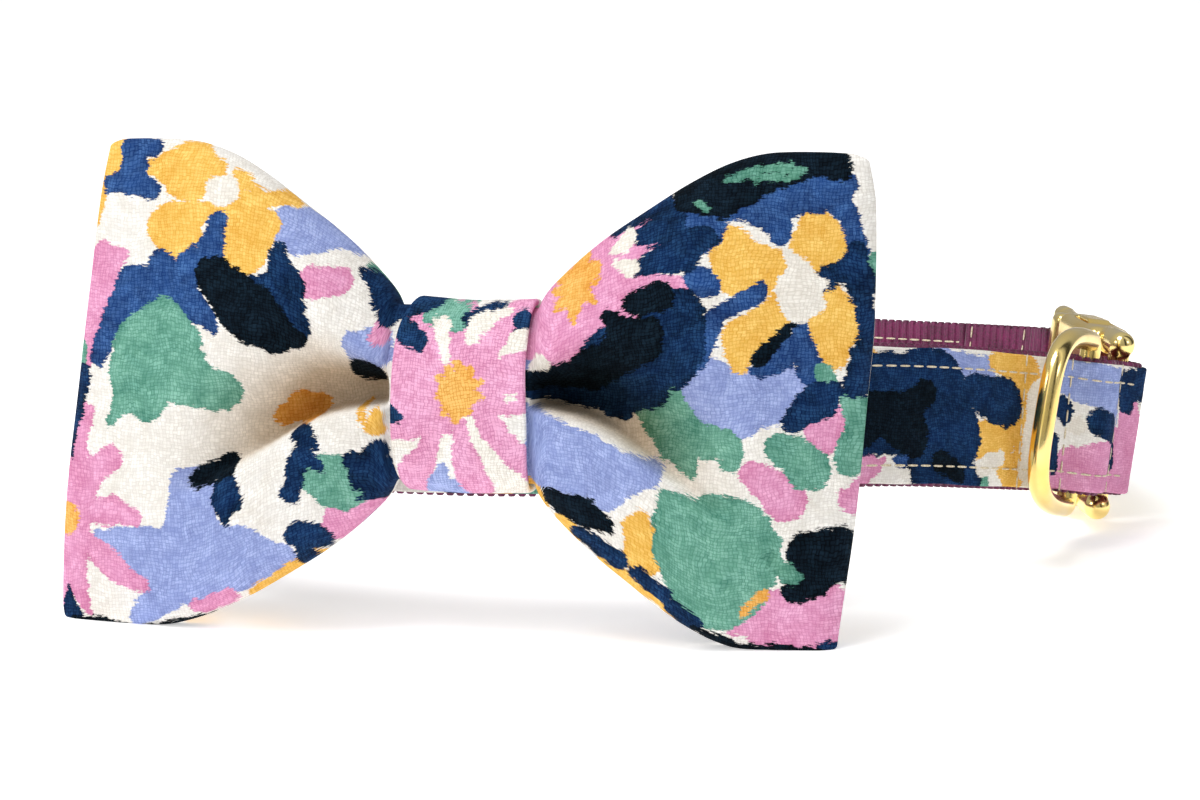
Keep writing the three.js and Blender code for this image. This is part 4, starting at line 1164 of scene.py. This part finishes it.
# joined and cut as one casting, then remeshed finely and eased so that the joins are fillets
def cast(name, parts, cuts, voxel=0.24, ease=6):
    whole = metalPart(name, parts)
    melt = whole.modifiers.new("melt", "REMESH")
    melt.mode, melt.voxel_size = "VOXEL", voxel
    if cuts:
        cutter = metalPart(name + "Cut", cuts)
        cut = whole.modifiers.new("cut", "BOOLEAN")
        cut.object, cut.operation, cut.solver = cutter, "DIFFERENCE", "EXACT"
        again = whole.modifiers.new("again", "REMESH")
        again.mode, again.voxel_size = "VOXEL", voxel
    soften = whole.modifiers.new("soften", "SMOOTH")
    soften.factor, soften.iterations = 0.5, ease
    depsgraph = bpy.context.evaluated_depsgraph_get()
    plain = bpy.data.meshes.new_from_object(whole.evaluated_get(depsgraph))
    whole.modifiers.clear()
    whole.data = plain
    if cuts:
        bpy.data.objects.remove(cutter)
    points = np.empty(len(plain.vertices) * 3, np.float32)
    plain.vertices.foreach_get("co", points)
    plain.vertices.foreach_set("co", toFrame(putBuckle(points.reshape(-1, 3))).astype(np.float32).ravel())
    plain.update()
    plain.shade_smooth()
    plain.materials.clear()
    plain.materials.append(gold)
    return whole


# a bar between two arms, with a barrel at each end of it
def slotFrame(mesh, barX, bodyX, knob, half, barrel):
    knobZ = half - knob
    inner = barX + math.copysign(barrel, bodyX - barX)
    outer = barX - math.copysign(buckle["pastBar"], bodyX - barX)
    rod(mesh, barRadius, (barX, 0, -knobZ), (barX, 0, knobZ))
    for side in (-1, 1):
        for x in (outer, inner):
            ball(mesh, knob, x, side * knobZ)
        rod(mesh, knob, (outer, 0, side * knobZ), (inner, 0, side * knobZ))
        rod(mesh, knob * buckle["armPart"], (barX, 0, side * knobZ),
            (bodyX, 0, side * (knobZ - buckle["armDrop"])))


def socketParts(mesh):
    slotFrame(mesh, 0, buckle["bodyStart"] + 2, buckle["nearKnob"], buckle["nearHalf"],
              buckle["nearBarrel"])
    depth, height = buckle["bodyHalfDepth"], buckle["bodyHalfHeight"]
    box(mesh, (buckle["bodyStart"], -depth, -height), (buckle["bodyEnd"], depth, height), 2.2)


def socketCuts(mesh):
    depth, height = buckle["bodyHalfDepth"] - buckle["wall"], buckle["bodyHalfHeight"]
    inner = height - buckle["wall"] - buckle["lip"]
    box(mesh, (buckle["bodyStart"] + 2.6, -depth, -inner), (buckle["bodyEnd"] + 1, depth, inner))
    box(mesh, (buckle["windowStart"], -depth, -height - 1), (buckle["windowEnd"], depth, height + 1), 1.2)


def plugParts(mesh):
    shoulder = buckle["bodyEnd"] + 0.6
    depth, height = buckle["bodyHalfDepth"], buckle["bodyHalfHeight"] - buckle["lip"]
    slotFrame(mesh, buckleLength, shoulder + 3, buckle["farKnob"], buckle["farHalf"], buckle["farBarrel"])
    box(mesh, (shoulder, -depth, -height), (shoulder + 5, depth, height), 1.6)
    box(mesh, (buckle["windowStart"], -1.8, -2.4), (shoulder + 1, 1.8, 2.4), 0.6)
    inner = height - buckle["wall"] - buckle["prongPlay"]
    thick = buckle["bodyHalfDepth"] - buckle["wall"] - buckle["prongPlay"]
    start, end, root = buckle["windowStart"], buckle["windowEnd"], buckle["bodyEnd"] + 1.5
    # a prong from its root, along its inside to the tip and back over the button in the window
    outline = [(root, 4.6), (start + 3, inner - 4.6), (start - 2.6, 6.2), (start - 2.6, 9),
               (start + 0.7, inner - 0.2), (start + 0.7, height + 0.1), (start + 3.6, height + 1.3),
               (end - 3.2, height + 1.2), (end - 0.7, height - 0.2), (end - 0.7, inner - 1), (root, 8)]
    for side in (-1, 1):
        corners = [mesh.verts.new((x, -thick, z * side)) for x, z in outline]
        face = mesh.faces.new(corners)
        made = bmesh.ops.extrude_face_region(mesh, geom=[face])
        lifted = [item for item in made["geom"] if isinstance(item, bmesh.types.BMVert)]
        bmesh.ops.translate(mesh, verts=lifted, vec=(0, thick * 2, 0))
        bmesh.ops.recalc_face_normals(mesh, faces=mesh.faces)


socket = cast("buckle_socket_metal", socketParts, socketCuts)
plug = cast("buckle_plug_metal", plugParts, None)
print("metal made", len(socket.data.polygons), len(plug.data.polygons))

# each piece hangs on its body, and the CAD parts it stands for are hidden
for piece, nodes, slotName in (
        (bowTie, ("bow",), "printed_cotton"), (bowWrap, ("bow_centre_wrap",), "printed_cotton"),
        (strapPrint, ("strap_print_strip",), "printed_cotton"), (strapCore, ("strap_webbing",), "webbing"),
        (socket, ("buckle_socket",), "gold_metal"), (plug, ("buckle_plug",), "gold_metal")):
    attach(piece, "collar")
    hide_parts(*nodes)
for piece in (strapRibs, stitches):
    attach(piece, "collar")
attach(leadRing, "lead_ring")
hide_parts("d_ring")

print("floor")
floor = newMesh("floor", [(-6, -6, 0), (6, -6, 0), (6, 6, 0), (-6, 6, 0)], [(0, 1, 2, 3)])
floorMaterial, floorTree, floorShader = newMaterial("paleFloor")
floorNoise = node(floorTree, "ShaderNodeTexNoise", {
    "Vector": node(floorTree, "ShaderNodeTexCoord").outputs["Object"], "Scale": 3.0})
floorColour = blendColour(floorTree, floorNoise.outputs[0], (0.93, 0.93, 0.93, 1), (0.96, 0.96, 0.96, 1))
floorTree.links.new(floorColour, floorShader.inputs["Base Color"])
floorShader.inputs["Roughness"].default_value = 0.9
floorShader.inputs["Emission Color"].default_value = (1, 1, 1, 1)
floorShader.inputs["Emission Strength"].default_value = 0.45
floor.data.materials.append(floorMaterial)
